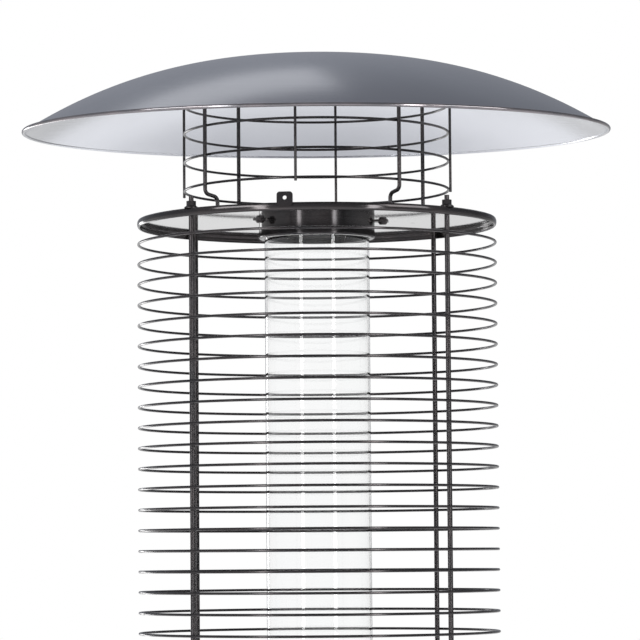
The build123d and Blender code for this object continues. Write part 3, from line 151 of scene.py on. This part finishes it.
# ---- finishes ---------------------------------------------------------------------------
class Recipe:
    """Node tree of one finish, built round a Principled shader."""

    def __init__(self, name):
        self.material = bpy.data.materials.new(name)
        self.material.use_nodes = True
        self.nodes = self.material.node_tree.nodes
        self.links = self.material.node_tree.links
        self.shader = self.nodes["Principled BSDF"]
        self.place = self.nodes.new("ShaderNodeTexCoord").outputs["Object"]

    def join(self, source, target):
        self.links.new(source, target)

    def mapped(self, scale=(1, 1, 1), turn=(0, 0, 0)):
        """Object coordinates, turned and stretched."""
        node = self.nodes.new("ShaderNodeMapping")
        node.inputs["Scale"].default_value = scale
        node.inputs["Rotation"].default_value = turn
        self.join(self.place, node.inputs["Vector"])
        return node.outputs["Vector"]

    def noise(self, vector, scale, detail=3.0, rough=0.5):
        node = self.nodes.new("ShaderNodeTexNoise")
        node.inputs["Scale"].default_value = scale
        node.inputs["Detail"].default_value = detail
        node.inputs["Roughness"].default_value = rough
        self.join(vector, node.inputs["Vector"])
        return node.outputs["Fac"]

    def cells(self, vector, scale):
        """Distance inside small irregular cells."""
        node = self.nodes.new("ShaderNodeTexVoronoi")
        node.inputs["Scale"].default_value = scale
        self.join(vector, node.inputs["Vector"])
        return node.outputs["Distance"]

    def span(self, source, low, high, start=0.3, end=0.7):
        """A factor stretched from start..end to low..high."""
        node = self.nodes.new("ShaderNodeMapRange")
        for socket, value in zip(("From Min", "From Max", "To Min", "To Max"), (start, end, low, high)):
            node.inputs[socket].default_value = value
        self.join(source, node.inputs["Value"])
        return node.outputs["Result"]

    def ramp(self, source, stops):
        """Colour ramp of (position, colour) stops."""
        node = self.nodes.new("ShaderNodeValToRGB")
        while len(node.color_ramp.elements) < len(stops):
            node.color_ramp.elements.new(0.5)
        for element, (position, colour) in zip(node.color_ramp.elements, stops):
            element.position = position
            element.color = (*colour, 1)
        self.join(source, node.inputs["Fac"])
        return node.outputs["Color"]

    def maths(self, operation, first, second=None):
        node = self.nodes.new("ShaderNodeMath")
        node.operation = operation
        for socket, value in zip(node.inputs, (first, second)):
            if value is None:
                continue
            if isinstance(value, (int, float)):
                socket.default_value = value
            else:
                self.join(value, socket)
        return node.outputs[0]

    def bump(self, height, distance, strength=1.0):
        """Relief of a given depth; several calls stack up."""
        node = self.nodes.new("ShaderNodeBump")
        node.inputs["Distance"].default_value = distance
        node.inputs["Strength"].default_value = strength
        self.join(height, node.inputs["Height"])
        target = self.shader.inputs["Normal"]
        if target.links:
            self.join(target.links[0].from_socket, node.inputs["Normal"])
        self.join(node.outputs["Normal"], target)

    def set(self, **values):
        """Fixed values on the shader's own sockets."""
        for name, value in values.items():
            self.shader.inputs[name.replace("_", " ").title().replace("Ior", "IOR")].default_value = value


def tones(colour, spread):
    """A darker and a lighter tone of a colour."""
    return [tuple(max(0.0, c * (1 - spread)) for c in colour), tuple(min(1.0, c * (1 + spread)) for c in colour)]


def coated(name, colour, rough, grain=900.0, depth=0.05, dust=0.0):
    """Powder coat or enamel: fine orange peel, faint cloudy tone, a little dust near the floor."""
    made = Recipe(name)
    cloudy = made.noise(made.mapped(), 9, 3)
    dark, light = tones(colour, 0.07)
    tone = made.ramp(cloudy, [(0.3, dark), (0.7, light)])
    if dust:
        height = made.nodes.new("ShaderNodeSeparateXYZ")
        made.join(made.place, height.inputs[0])
        low = made.span(height.outputs["Z"], dust, 0.0, 0.0, 0.16)
        speck = made.noise(made.mapped(), 160, 5, 0.7)
        mix = made.nodes.new("ShaderNodeMix")
        mix.data_type = "RGBA"
        made.join(made.maths("MULTIPLY", low, speck), mix.inputs["Factor"])
        made.join(tone, mix.inputs["A"])
        mix.inputs["B"].default_value = (0.30, 0.27, 0.23, 1)
        tone = mix.outputs["Result"]
    made.join(tone, made.shader.inputs["Base Color"])
    made.join(made.span(made.noise(made.mapped(), 42, 4), rough * 0.85, rough * 1.2), made.shader.inputs["Roughness"])
    made.bump(made.noise(made.mapped(), grain, 2), depth * MM)
    return made.material


def plated(name, colour, rough):
    """Black chrome over wire: dark metal, smooth, with faint brown cloudiness."""
    made = Recipe(name)
    cloudy = made.noise(made.mapped(), 22, 4)
    dark = tuple(c * 0.8 for c in colour)
    brown = (colour[0] * 1.25, colour[1] * 1.12, colour[2] * 1.08)
    made.join(made.ramp(cloudy, [(0.3, dark), (0.7, brown)]), made.shader.inputs["Base Color"])
    made.join(made.span(made.noise(made.mapped(), 60, 4), rough * 0.8, rough * 1.3), made.shader.inputs["Roughness"])
    made.set(metallic=0.75)
    made.bump(made.noise(made.mapped(), 500, 2), 0.006 * MM)
    return made.material


def drawn_metal(name, colour, rough, stretch=(1, 1, 14), scale=260.0, depth=0.012, spread=0.10):
    """Bare metal with brush or drawing marks along one axis."""
    made = Recipe(name)
    marks = made.noise(made.mapped(scale=stretch), scale, 4, 0.6)
    cloudy = made.noise(made.mapped(), 18, 3)
    dark, light = tones(colour, spread)
    mixed = made.maths("ADD", made.maths("MULTIPLY", marks, 0.5), made.maths("MULTIPLY", cloudy, 0.5))
    made.join(made.ramp(mixed, [(0.35, dark), (0.65, light)]), made.shader.inputs["Base Color"])
    made.join(made.span(marks, rough * 0.8, rough * 1.3), made.shader.inputs["Roughness"])
    made.set(metallic=1.0)
    made.bump(marks, depth * MM)
    return made.material


def spun_metal(name, colour, rough, tilt, spread=0.05, ring_scale=620.0, depth=0.010):
    """Bare sheet spun on a lathe: fine rings about the axis and slow cloudy tone."""
    made = Recipe(name)
    turned = made.mapped(turn=(-tilt, 0, 0))
    flat = made.nodes.new("ShaderNodeVectorMath")
    flat.operation = "MULTIPLY"
    flat.inputs[1].default_value = (1, 1, 0)
    made.join(turned, flat.inputs[0])
    far = made.nodes.new("ShaderNodeVectorMath")
    far.operation = "LENGTH"
    made.join(flat.outputs[0], far.inputs[0])
    rings = made.nodes.new("ShaderNodeTexNoise")
    rings.noise_dimensions = "1D"
    rings.inputs["Scale"].default_value = ring_scale
    rings.inputs["Detail"].default_value = 3
    made.join(far.outputs["Value"], rings.inputs["W"])
    cloudy = made.noise(made.mapped(), 7, 3)
    dark, light = tones(colour, spread)
    fine = made.maths("MULTIPLY", rings.outputs["Fac"], 0.35)
    mixed = made.maths("ADD", fine, made.maths("MULTIPLY", cloudy, 0.65))
    made.join(made.ramp(mixed, [(0.35, dark), (0.65, light)]), made.shader.inputs["Base Color"])
    made.join(made.span(rings.outputs["Fac"], rough * 0.85, rough * 1.2), made.shader.inputs["Roughness"])
    made.set(metallic=1.0)
    made.bump(rings.outputs["Fac"], depth * MM)
    return made.material


def moulded(name, colour, rough, grain=1400.0, depth=0.06):
    """Moulded plastic with a fine spark-eroded grain."""
    made = Recipe(name)
    dark, light = tones(colour, 0.15)
    patchy = made.noise(made.mapped(), 30, 3)
    made.join(made.ramp(patchy, [(0.3, dark), (0.7, light)]), made.shader.inputs["Base Color"])
    grainy = made.cells(made.mapped(), grain)
    made.join(made.span(grainy, rough * 0.85, rough * 1.15, 0.1, 0.6), made.shader.inputs["Roughness"])
    made.bump(grainy, depth * MM)
    return made.material


def rubbery(name, colour, rough=0.75):
    """Black rubber with bloom and fine pits."""
    made = Recipe(name)
    bloom = made.noise(made.mapped(), 55, 5, 0.65)
    light = tuple(c * 2.2 + 0.006 for c in colour)
    made.join(made.ramp(bloom, [(0.35, colour), (0.75, light)]), made.shader.inputs["Base Color"])
    made.join(made.span(bloom, rough * 0.85, min(1.0, rough * 1.15)), made.shader.inputs["Roughness"])
    made.bump(made.noise(made.mapped(), 1100, 2), 0.06 * MM)
    return made.material


def cast(name, colour):
    """Sand-cast iron, rough and slightly rusty in the hollows."""
    made = Recipe(name)
    rough = made.noise(made.mapped(), 420, 5, 0.65)
    rust = made.noise(made.mapped(), 26, 5, 0.6)
    brown = (colour[0] * 1.9, colour[1] * 1.15, colour[2] * 0.8)
    made.join(made.ramp(rust, [(0.45, colour), (0.72, brown)]), made.shader.inputs["Base Color"])
    made.join(made.span(rough, 0.55, 0.85), made.shader.inputs["Roughness"])
    made.set(metallic=0.4)
    made.bump(rough, 0.25 * MM)
    return made.material


def heat_tinted(name):
    """Steel that has been in the flame: straw to blue bands over grey."""
    made = Recipe(name)
    bands = made.noise(made.mapped(), 34, 3)
    made.join(
        made.ramp(
            bands,
            [
                (0.30, (0.42, 0.40, 0.38)),
                (0.46, (0.40, 0.29, 0.16)),
                (0.58, (0.24, 0.18, 0.24)),
                (0.72, (0.20, 0.25, 0.36)),
            ],
        ),
        made.shader.inputs["Base Color"],
    )
    made.join(made.span(made.noise(made.mapped(), 300, 3), 0.28, 0.48), made.shader.inputs["Roughness"])
    made.set(metallic=1.0)
    made.bump(made.noise(made.mapped(), 700, 2), 0.03 * MM)
    return made.material


def fibre(name, colour):
    """Woven ceramic gasket."""
    made = Recipe(name)
    wave = made.nodes.new("ShaderNodeTexWave")
    wave.inputs["Scale"].default_value = 240
    wave.inputs["Distortion"].default_value = 3
    made.join(made.mapped(), wave.inputs["Vector"])
    dark, light = tones(colour, 0.2)
    made.join(made.ramp(wave.outputs["Fac"], [(0.2, dark), (0.8, light)]), made.shader.inputs["Base Color"])
    made.join(made.span(wave.outputs["Fac"], 0.8, 0.95, 0, 1), made.shader.inputs["Roughness"])
    made.bump(wave.outputs["Fac"], 0.3 * MM)
    return made.material


def clear_glass(name):
    """Borosilicate tube with faint drawing waves along its length."""
    made = Recipe(name)
    made.set(transmission_weight=1.0, ior=1.45)
    waves = made.noise(made.mapped(scale=(1, 1, 0.06)), 24, 2)
    made.join(made.ramp(waves, [(0.3, (0.975, 0.98, 0.98)), (0.7, (0.99, 0.99, 0.99))]), made.shader.inputs["Base Color"])
    made.join(made.span(made.noise(made.mapped(), 40, 3), 0.0, 0.02), made.shader.inputs["Roughness"])
    made.bump(waves, 0.05 * MM)
    return made.material


def make_finishes():
    """One material for each finish, by slot name."""
    tint = colours()
    wire, coat = tuple(tint.wire), tuple(tint.cabinet)
    return {
        "black_paint": coated("black_enamel", coat, 0.24, 700, 0.03, dust=0.35),
        "cage_wire": plated("wire_black_chrome", wire, 0.20),
        "rim_gloss": plated("rim_black_chrome", wire, 0.13),
        "black_screw": plated("blackened_screw", wire, 0.28),
        "cabinet_steel": coated("cabinet_powder_coat", coat, 0.42, 1100, 0.09, dust=0.45),
        "cylinder_paint": coated("cylinder_paint", tuple(tint.cylinder), 0.30, 500, 0.05),
        "reflector_steel": spun_metal("spun_reflector", tuple(tint.sheet), 0.22, HOOD_TILT),
        # Darker metal on the reflector's rolled edge: painted shade for the crease along its rim.
        "rolled_edge": plated("painted_shade_rolled_edge", (0.20, 0.20, 0.215), 0.12),
        "polished_steel": drawn_metal("polished_deck", (0.78, 0.78, 0.79), 0.05, (1, 14, 1), 60, 0.001, 0.03),
        "zinc": drawn_metal("zinc_plate", (0.60, 0.61, 0.63), 0.32, (1, 1, 1), 90, 0.02, 0.14),
        "burner_steel": heat_tinted("heat_tinted_steel"),
        "brass": drawn_metal("turned_brass", (0.70, 0.50, 0.20), 0.26, (1, 1, 1), 300, 0.01, 0.12),
        "regulator_zinc": drawn_metal("cast_zinc", (0.42, 0.43, 0.44), 0.45, (1, 1, 1), 500, 0.05, 0.12),
        "cast_burner": cast("cast_iron", (0.07, 0.065, 0.06)),
        "dark_plastic": moulded("black_plastic", (0.016, 0.016, 0.018), 0.42),
        "hand_plastic": moulded("handwheel_plastic", (0.02, 0.09, 0.24), 0.38, 900),
        "red_plastic": moulded("button_plastic", tuple(tint.button), 0.22, 2400, 0.01),
        "rubber": rubbery("foot_rubber", (0.014, 0.014, 0.014)),
        "tyre": rubbery("tyre_rubber", (0.012, 0.012, 0.012), 0.82),
        "hose_rubber": rubbery("hose_rubber", (0.020, 0.020, 0.021), 0.55),
        "gasket": fibre("fibre_gasket", (0.62, 0.60, 0.55)),
        "glass": clear_glass("flame_tube_glass"),
    }


FINISHES = {}
SLOTS = {part["node"]: part["material_slot"] for part in frame["record"]["subparts"]}
GLOSSY = ("deck_rim", "tube_collar", "tether_lug")


def finish_of(node):
    """Finish of a CAD node: its slot's, or the gloss one on the deck's trim."""
    return FINISHES["rim_gloss" if node in GLOSSY else SLOTS[node]]


# ---- mesh helpers -----------------------------------------------------------------------
def settle(bm, name, node):
    """Turn a bmesh into a finished piece that stands for a CAD node and rides on its body."""
    bmesh.ops.remove_doubles(bm, verts=bm.verts, dist=1e-6)
    bmesh.ops.recalc_face_normals(bm, faces=bm.faces)
    for face in bm.faces:
        face.smooth = True
    for edge in bm.edges:
        edge.smooth = not edge.is_manifold or edge.calc_face_angle(0.0) < CREASE
    mesh = bpy.data.meshes.new(name)
    bm.to_mesh(mesh)
    bm.free()
    piece = bpy.data.objects.new(name, mesh)
    bpy.context.scene.collection.objects.link(piece)
    mesh.materials.append(finish_of(node))
    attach(piece, BODY)
    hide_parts(node)
    return piece


def outline(bm, points):
    """Vertices and edges of a closed section in the xz plane, from (radius, height) points."""
    verts = [bm.verts.new((x, 0, z)) for x, z in points]
    return verts + [bm.edges.new(pair) for pair in zip(verts, verts[1:] + verts[:1])]


def spin(bm, geometry, steps):
    """Full turn about the z axis."""
    bmesh.ops.spin(bm, geom=geometry, cent=(0, 0, 0), axis=(0, 0, 1), angle=TAU, steps=steps, use_merge=True)


def rounded(points, radius, parts=4):
    """Section with its corners rounded, as (x, z) points."""
    smooth = []
    for index, point in enumerate(points):
        here = Vector(point)
        before = Vector(points[index - 1]) - here
        after = Vector(points[(index + 1) % len(points)]) - here
        cut = min(radius, before.length / 2.2, after.length / 2.2)
        start, end = here + before.normalized() * cut, here + after.normalized() * cut
        for part in range(parts + 1):
            share = part / parts
            smooth.append(start * (1 - share) ** 2 + here * 2 * share * (1 - share) + end * share**2)
    return [(p.x, p.y) for p in smooth]


def wire_rings(bm, radius, wire, heights):
    """Closed wire rings about the z axis, one at each height."""
    turn = Matrix.Translation((radius, 0, heights[0])) @ Matrix.Rotation(math.pi / 2, 4, "X")
    made = bmesh.ops.create_circle(
        bm, cap_ends=False, segments=sizes().wire_sides, radius=wire / 2, matrix=turn
    )["verts"]
    edges = list({edge for vert in made for edge in vert.link_edges})
    spin(bm, made + edges, sizes().ring_steps)
    first = bm.verts[:] + bm.edges[:] + bm.faces[:]
    for height in heights[1:]:
        copy = bmesh.ops.duplicate(bm, geom=first)["geom"]
        moved = [item for item in copy if isinstance(item, bmesh.types.BMVert)]
        bmesh.ops.translate(bm, verts=moved, vec=(0, 0, height - heights[0]))


# ---- pieces -----------------------------------------------------------------------------
class HEATER_OT_finishes(bpy.types.Operator):
    """Make the finishes and put them on the CAD pieces"""

    bl_idname = "heater.finishes"
    bl_label = "Finishes"

    def execute(self, context):
        FINISHES.update(make_finishes())
        for node, obj in NODES.items():
            obj.data.materials.clear()
            obj.data.materials.append(finish_of(node))
        return {"FINISHED"}


class HEATER_OT_reflector(bpy.types.Operator):
    """Spin the domed reflector with its rolled edge"""

    bl_idname = "heater.reflector"
    bl_label = "Reflector"

    def execute(self, context):
        size = sizes()
        bead = size.bead / 2
        foot = HOOD_R - bead

        def height(radius):
            return size.dome_rise * (1 - (radius / HOOD_R) ** size.dome_power)

        radii = [DOME_BORE + (foot - DOME_BORE) * step / DOME_STEPS for step in range(DOME_STEPS + 1)]
        outside = [(radius, height(radius)) for radius in radii]
        inside = [(x, z - size.dome_sheet) for x, z in reversed(outside)]
        roll = []
        for step in range(1, 14):
            angle = math.radians(105 - step * 22)
            roll.append((foot + bead * math.cos(angle), bead + bead * math.sin(angle)))
        bm = bmesh.new()
        spin(bm, outline(bm, outside + roll + inside[1:]), 180)
        # The rolled edge takes the second material, a darker metal: painted shade for the dark crease along the
        # reflector's rim.
        for face in bm.faces:
            centre = face.calc_center_median()
            face.material_index = 1 if math.hypot(centre.x, centre.y) > foot + 0.3 * bead else 0
        bmesh.ops.rotate(bm, verts=bm.verts, cent=(0, 0, 0), matrix=Matrix.Rotation(HOOD_TILT, 3, "X"))
        bmesh.ops.translate(bm, verts=bm.verts, vec=HOOD_PIVOT)
        dome = settle(bm, "reflector_dome", "reflector")
        dome.data.materials.append(FINISHES["rolled_edge"])
        return {"FINISHED"}


class HEATER_OT_guard(bpy.types.Operator):
    """Bend the guard's rings under the reflector"""

    bl_idname = "heater.guard"
    bl_label = "Upper guard"

    def execute(self, context):
        size = sizes()
        radius = reach("guard_rings") - size.guard_wire / 2
        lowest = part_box("guard_rings")[0].z + size.guard_wire / 2
        heights = [lowest + index * size.guard_pitch for index in range(GUARD_RINGS)]
        bm = bmesh.new()
        wire_rings(bm, radius, size.guard_wire, heights)
        settle(bm, "guard_ring_wires", "guard_rings")
        return {"FINISHED"}


class HEATER_OT_cage(bpy.types.Operator):
    """Bend the rings of the cage round the flame tube"""

    bl_idname = "heater.cage"
    bl_label = "Cage rings"

    def execute(self, context):
        size = sizes()
        radius = reach("cage_rings_upper") - size.cage_wire / 2
        for node in ("cage_rings_upper", "cage_rings_lower"):
            low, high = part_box(node)
            top, bottom = high.z - size.cage_wire / 2, low.z + size.cage_wire / 2
            count = round((top - bottom) / size.cage_pitch) + 1
            bm = bmesh.new()
            heights = [top - index * size.cage_pitch for index in range(count)]
            wire_rings(bm, radius, size.cage_wire, heights)
            settle(bm, node + "_wires", node)
        return {"FINISHED"}


class HEATER_OT_rim(bpy.types.Operator):
    """Roll the rim that runs round the deck, and its inner lip"""

    bl_idname = "heater.rim"
    bl_label = "Deck rim"

    def execute(self, context):
        low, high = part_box("deck_rim")
        tall, sheet, bulge, lip = high.z - low.z, 0.9 * MM, 2.3 * MM, 14 * MM
        arc = [math.pi * (share / 12 - 0.5) for share in range(13)]
        outer = [(CAGE_R - bulge + bulge * math.cos(a), low.z + tall / 2 * (1 + math.sin(a))) for a in arc]
        inner = [
            (
                CAGE_R - bulge - sheet + bulge * math.cos(a),
                low.z + sheet / 2 + (tall / 2 - sheet) * (1 + math.sin(a)),
            )
            for a in arc
        ]
        edge = [(CAGE_R - lip, high.z), (CAGE_R - lip, high.z - sheet)]
        bm = bmesh.new()
        spin(bm, outline(bm, outer + edge + list(reversed(inner))), 180)
        settle(bm, "deck_rim_rolled", "deck_rim")
        return {"FINISHED"}


class HEATER_OT_uprights(bpy.types.Operator):
    """Cut the thin uprights that carry the guard's rings, up to just under the carrier plate"""

    bl_idname = "heater.uprights"
    bl_label = "Guard uprights"

    def execute(self, context):
        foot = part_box("guard_uprights")[0].z
        radius = reach("guard_rings") + UPRIGHT / 2 + 0.1 * MM
        bm = bmesh.new()
        for turn in range(4):
            bearing = math.radians(UPRIGHT_BEARING + 90 * turn)
            x, y = radius * math.sin(bearing), -radius * math.cos(bearing)
            top = HOOD_PIVOT.z + UPRIGHT_REACH + y * math.tan(HOOD_TILT)
            rod = bmesh.ops.create_cone(
                bm,
                cap_ends=True,
                segments=16,
                radius1=UPRIGHT / 2,
                radius2=UPRIGHT / 2,
                depth=top - foot,
                matrix=Matrix.Translation((x, y, (foot + top) / 2)),
            )["verts"]
            rims = [e for e in {e for v in rod for e in v.link_edges} if e.calc_face_angle(0) > 1]
            bmesh.ops.bevel(bm, geom=rims, offset=0.5 * MM, segments=2, profile=0.5, affect="EDGES", material=-1)
        settle(bm, "guard_thin_uprights", "guard_uprights")
        return {"FINISHED"}


class HEATER_OT_tube(bpy.types.Operator):
    """Draw the glass flame tube with fire-polished ends"""

    bl_idname = "heater.tube"
    bl_label = "Flame tube"

    def execute(self, context):
        low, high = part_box("glass_tube")
        outer = reach("glass_tube")
        inner = outer - TUBE_WALL
        support = 6 * MM
        heights = (low.z, low.z + support, high.z - support, high.z)
        wall = [(outer, z) for z in heights] + [(inner, z) for z in reversed(heights)]
        section = rounded(wall, 1.3 * MM)
        bm = bmesh.new()
        spin(bm, outline(bm, section), 128)
        settle(bm, "flame_tube", "glass_tube")
        return {"FINISHED"}


class HEATER_OT_stage(bpy.types.Operator):
    """Lay the floor, hang the lights and set the camera"""

    bl_idname = "heater.stage"
    bl_label = "Floor, light and camera"

    def execute(self, context):
        scene = context.scene
        bm = bmesh.new()
        bmesh.ops.create_circle(bm, cap_ends=True, segments=128, radius=6.0)
        mesh = bpy.data.meshes.new("floor")
        bm.to_mesh(mesh)
        bm.free()
        floor = bpy.data.objects.new("floor", mesh)
        scene.collection.objects.link(floor)
        made = Recipe("pale_floor_painted_glow")
        made.join(
            made.ramp(made.noise(made.mapped(), 5, 4), [(0.3, (0.76, 0.76, 0.77)), (0.7, (0.80, 0.80, 0.81))]),
            made.shader.inputs["Base Color"],
        )
        made.set(roughness=0.7)
        # The floor glows more the farther it lies from the heater: painted light that brightens the reflections in
        # the reflector.
        away = made.nodes.new("ShaderNodeVectorMath")
        away.operation = "LENGTH"
        made.join(made.place, away.inputs[0])
        glow = made.span(away.outputs["Value"], 0.0, 0.84, 0.9, 3.4)
        made.join(glow, made.shader.inputs["Emission Strength"])
        made.shader.inputs["Emission Color"].default_value = (1, 1, 1, 1)
        mesh.materials.append(made.material)

        world = bpy.data.worlds.new("studio")
        scene.world = world
        world.use_nodes = True
        tree = world.node_tree
        place = tree.nodes.new("ShaderNodeTexCoord")
        split = tree.nodes.new("ShaderNodeSeparateXYZ")
        ramp = tree.nodes.new("ShaderNodeValToRGB")
        rays = tree.nodes.new("ShaderNodeLightPath")
        seen = tree.nodes.new("ShaderNodeMath")
        seen.operation = "MAXIMUM"
        mix = tree.nodes.new("ShaderNodeMix")
        mix.data_type = "RGBA"
        tree.links.new(place.outputs["Generated"], split.inputs[0])
        height = tree.nodes.new("ShaderNodeMapRange")
        height.inputs["From Min"].default_value = -1
        height.inputs["From Max"].default_value = 1
        tree.links.new(split.outputs["Z"], height.inputs["Value"])
        tree.links.new(height.outputs["Result"], ramp.inputs["Fac"])
        tree.links.new(rays.outputs["Is Camera Ray"], seen.inputs[0])
        tree.links.new(rays.outputs["Is Transmission Ray"], seen.inputs[1])
        tree.links.new(seen.outputs[0], mix.inputs["Factor"])
        sideways = tree.nodes.new("ShaderNodeMapRange")
        sideways.inputs["From Min"].default_value = -1
        sideways.inputs["From Max"].default_value = 1
        tree.links.new(split.outputs["X"], sideways.inputs["Value"])
        falloff = tree.nodes.new("ShaderNodeValToRGB")
        tree.links.new(sideways.outputs["Result"], falloff.inputs["Fac"])
        lift = tree.nodes.new("ShaderNodeMath")
        lift.operation = "MULTIPLY"
        lift.inputs[1].default_value = 1.35
        tree.links.new(falloff.outputs["Color"], lift.inputs[0])
        graded = tree.nodes.new("ShaderNodeVectorMath")
        graded.operation = "SCALE"
        tree.links.new(ramp.outputs["Color"], graded.inputs[0])
        tree.links.new(lift.outputs[0], graded.inputs["Scale"])
        tree.links.new(graded.outputs[0], mix.inputs["A"])
        mix.inputs["B"].default_value = (1, 1, 1, 1)
        tree.links.new(mix.outputs["Result"], tree.nodes["Background"].inputs["Color"])
        grey_sky = (
            (0.455, (1.0, 1.0, 1.0)),
            (0.505, (0.50, 0.51, 0.54)),
            (0.60, (0.37, 0.385, 0.435)),
            (0.80, (0.36, 0.38, 0.43)),
            (0.93, (0.26, 0.27, 0.31)),
        )
        side_light = ((0.0, 0.66), (0.175, 0.50), (0.50, 0.58), (0.80, 0.25), (0.92, 0.28), (1.0, 0.60))
        for node, stops in ((ramp, grey_sky), (falloff, [(at, (grey, grey, grey)) for at, grey in side_light])):
            while len(node.color_ramp.elements) < len(stops):
                node.color_ramp.elements.new(0.5)
            for element, (position, colour) in zip(node.color_ramp.elements, stops):
                element.position = position
                element.color = (*colour, 1)
        tree.nodes["Background"].inputs["Strength"].default_value = 1.0

        for name, spot, aim, width, tall, watts in (
            ("key_softbox", (-3.4, -2.6, 3.9), (0, 0, 1.0), 2.6, 2.0, 120),
            ("fill_softbox", (3.6, -2.2, 3.6), (0, 0, 0.9), 2.4, 2.0, 80),
            ("left_strip", (-2.0, -2.75, 1.9), (0, 0, 1.6), 0.42, 2.6, 34),
            ("right_strip", (1.9, -2.8, 1.9), (0, 0, 1.6), 0.42, 2.6, 38),
            ("back_strip", (-1.7, 3.0, 1.3), (0, 0, 1.3), 0.6, 1.9, 16),
            ("dome_panel", (-0.52, 1.7, 4.5), (0, -0.3, 2.25), 1.3, 0.8, 1.3),
        ):
            light = bpy.data.lights.new(name, "AREA")
            light.shape = "RECTANGLE"
            light.size = width
            light.size_y = tall
            light.energy = watts
            lamp = bpy.data.objects.new(name, light)
            lamp.visible_camera = False
            lamp.visible_transmission = False
            lamp.location = spot
            lamp.rotation_euler = (Vector(aim) - Vector(spot)).to_track_quat("-Z", "Y").to_euler()
            scene.collection.objects.link(lamp)

        lens = bpy.data.cameras.new("camera")
        lens.sensor_width = 36.0
        lens.lens = 191.25
        lens.clip_end = 60
        camera = bpy.data.objects.new("camera", lens)
        camera.location = (-0.0842, -4.3852, 1.6906)
        pitch, pan, roll = math.radians(3.97), math.radians(-1.142), math.radians(-0.42)
        camera.rotation_mode = "QUATERNION"
        camera.rotation_quaternion = (
            Matrix.Rotation(pan, 3, "Z")
            @ Matrix.Rotation(math.pi / 2 + pitch, 3, "X")
            @ Matrix.Rotation(roll, 3, "Z")
        ).to_quaternion()
        scene.collection.objects.link(camera)
        scene.camera = camera
        scene.view_settings.view_transform = "Standard"
        scene.view_settings.look = "None"
        return {"FINISHED"}


PIECE_OPERATORS = (
    HEATER_OT_finishes,
    HEATER_OT_reflector,
    HEATER_OT_guard,
    HEATER_OT_uprights,
    HEATER_OT_cage,
    HEATER_OT_rim,
    HEATER_OT_tube,
    HEATER_OT_stage,
)


class HEATER_PT_panel(bpy.types.Panel):
    """Lists the heater's pieces"""

    bl_label = "Patio heater"
    bl_idname = "HEATER_PT_panel"
    bl_space_type = "VIEW_3D"
    bl_region_type = "UI"
    bl_category = "Heater"

    def draw(self, context):
        for operator in PIECE_OPERATORS:
            self.layout.operator(operator.bl_idname)
        for group in (context.scene.heater_sizes, context.scene.heater_finishes):
            box = self.layout.box()
            for name in group.__annotations__:
                box.prop(group, name)


CLASSES = (HeaterSizes, HeaterFinishes, *PIECE_OPERATORS, HEATER_PT_panel)


def register():
    for cls in CLASSES:
        bpy.utils.register_class(cls)
    bpy.types.Scene.heater_sizes = PointerProperty(type=HeaterSizes)
    bpy.types.Scene.heater_finishes = PointerProperty(type=HeaterFinishes)


def unregister():
    del bpy.types.Scene.heater_finishes
    del bpy.types.Scene.heater_sizes
    for cls in reversed(CLASSES):
        bpy.utils.unregister_class(cls)


def main():
    """Build every piece in order."""
    register()
    for operator in PIECE_OPERATORS:
        family, name = operator.bl_idname.split(".")
        getattr(getattr(bpy.ops, family), name)()


if __name__ == "__main__":
    main()
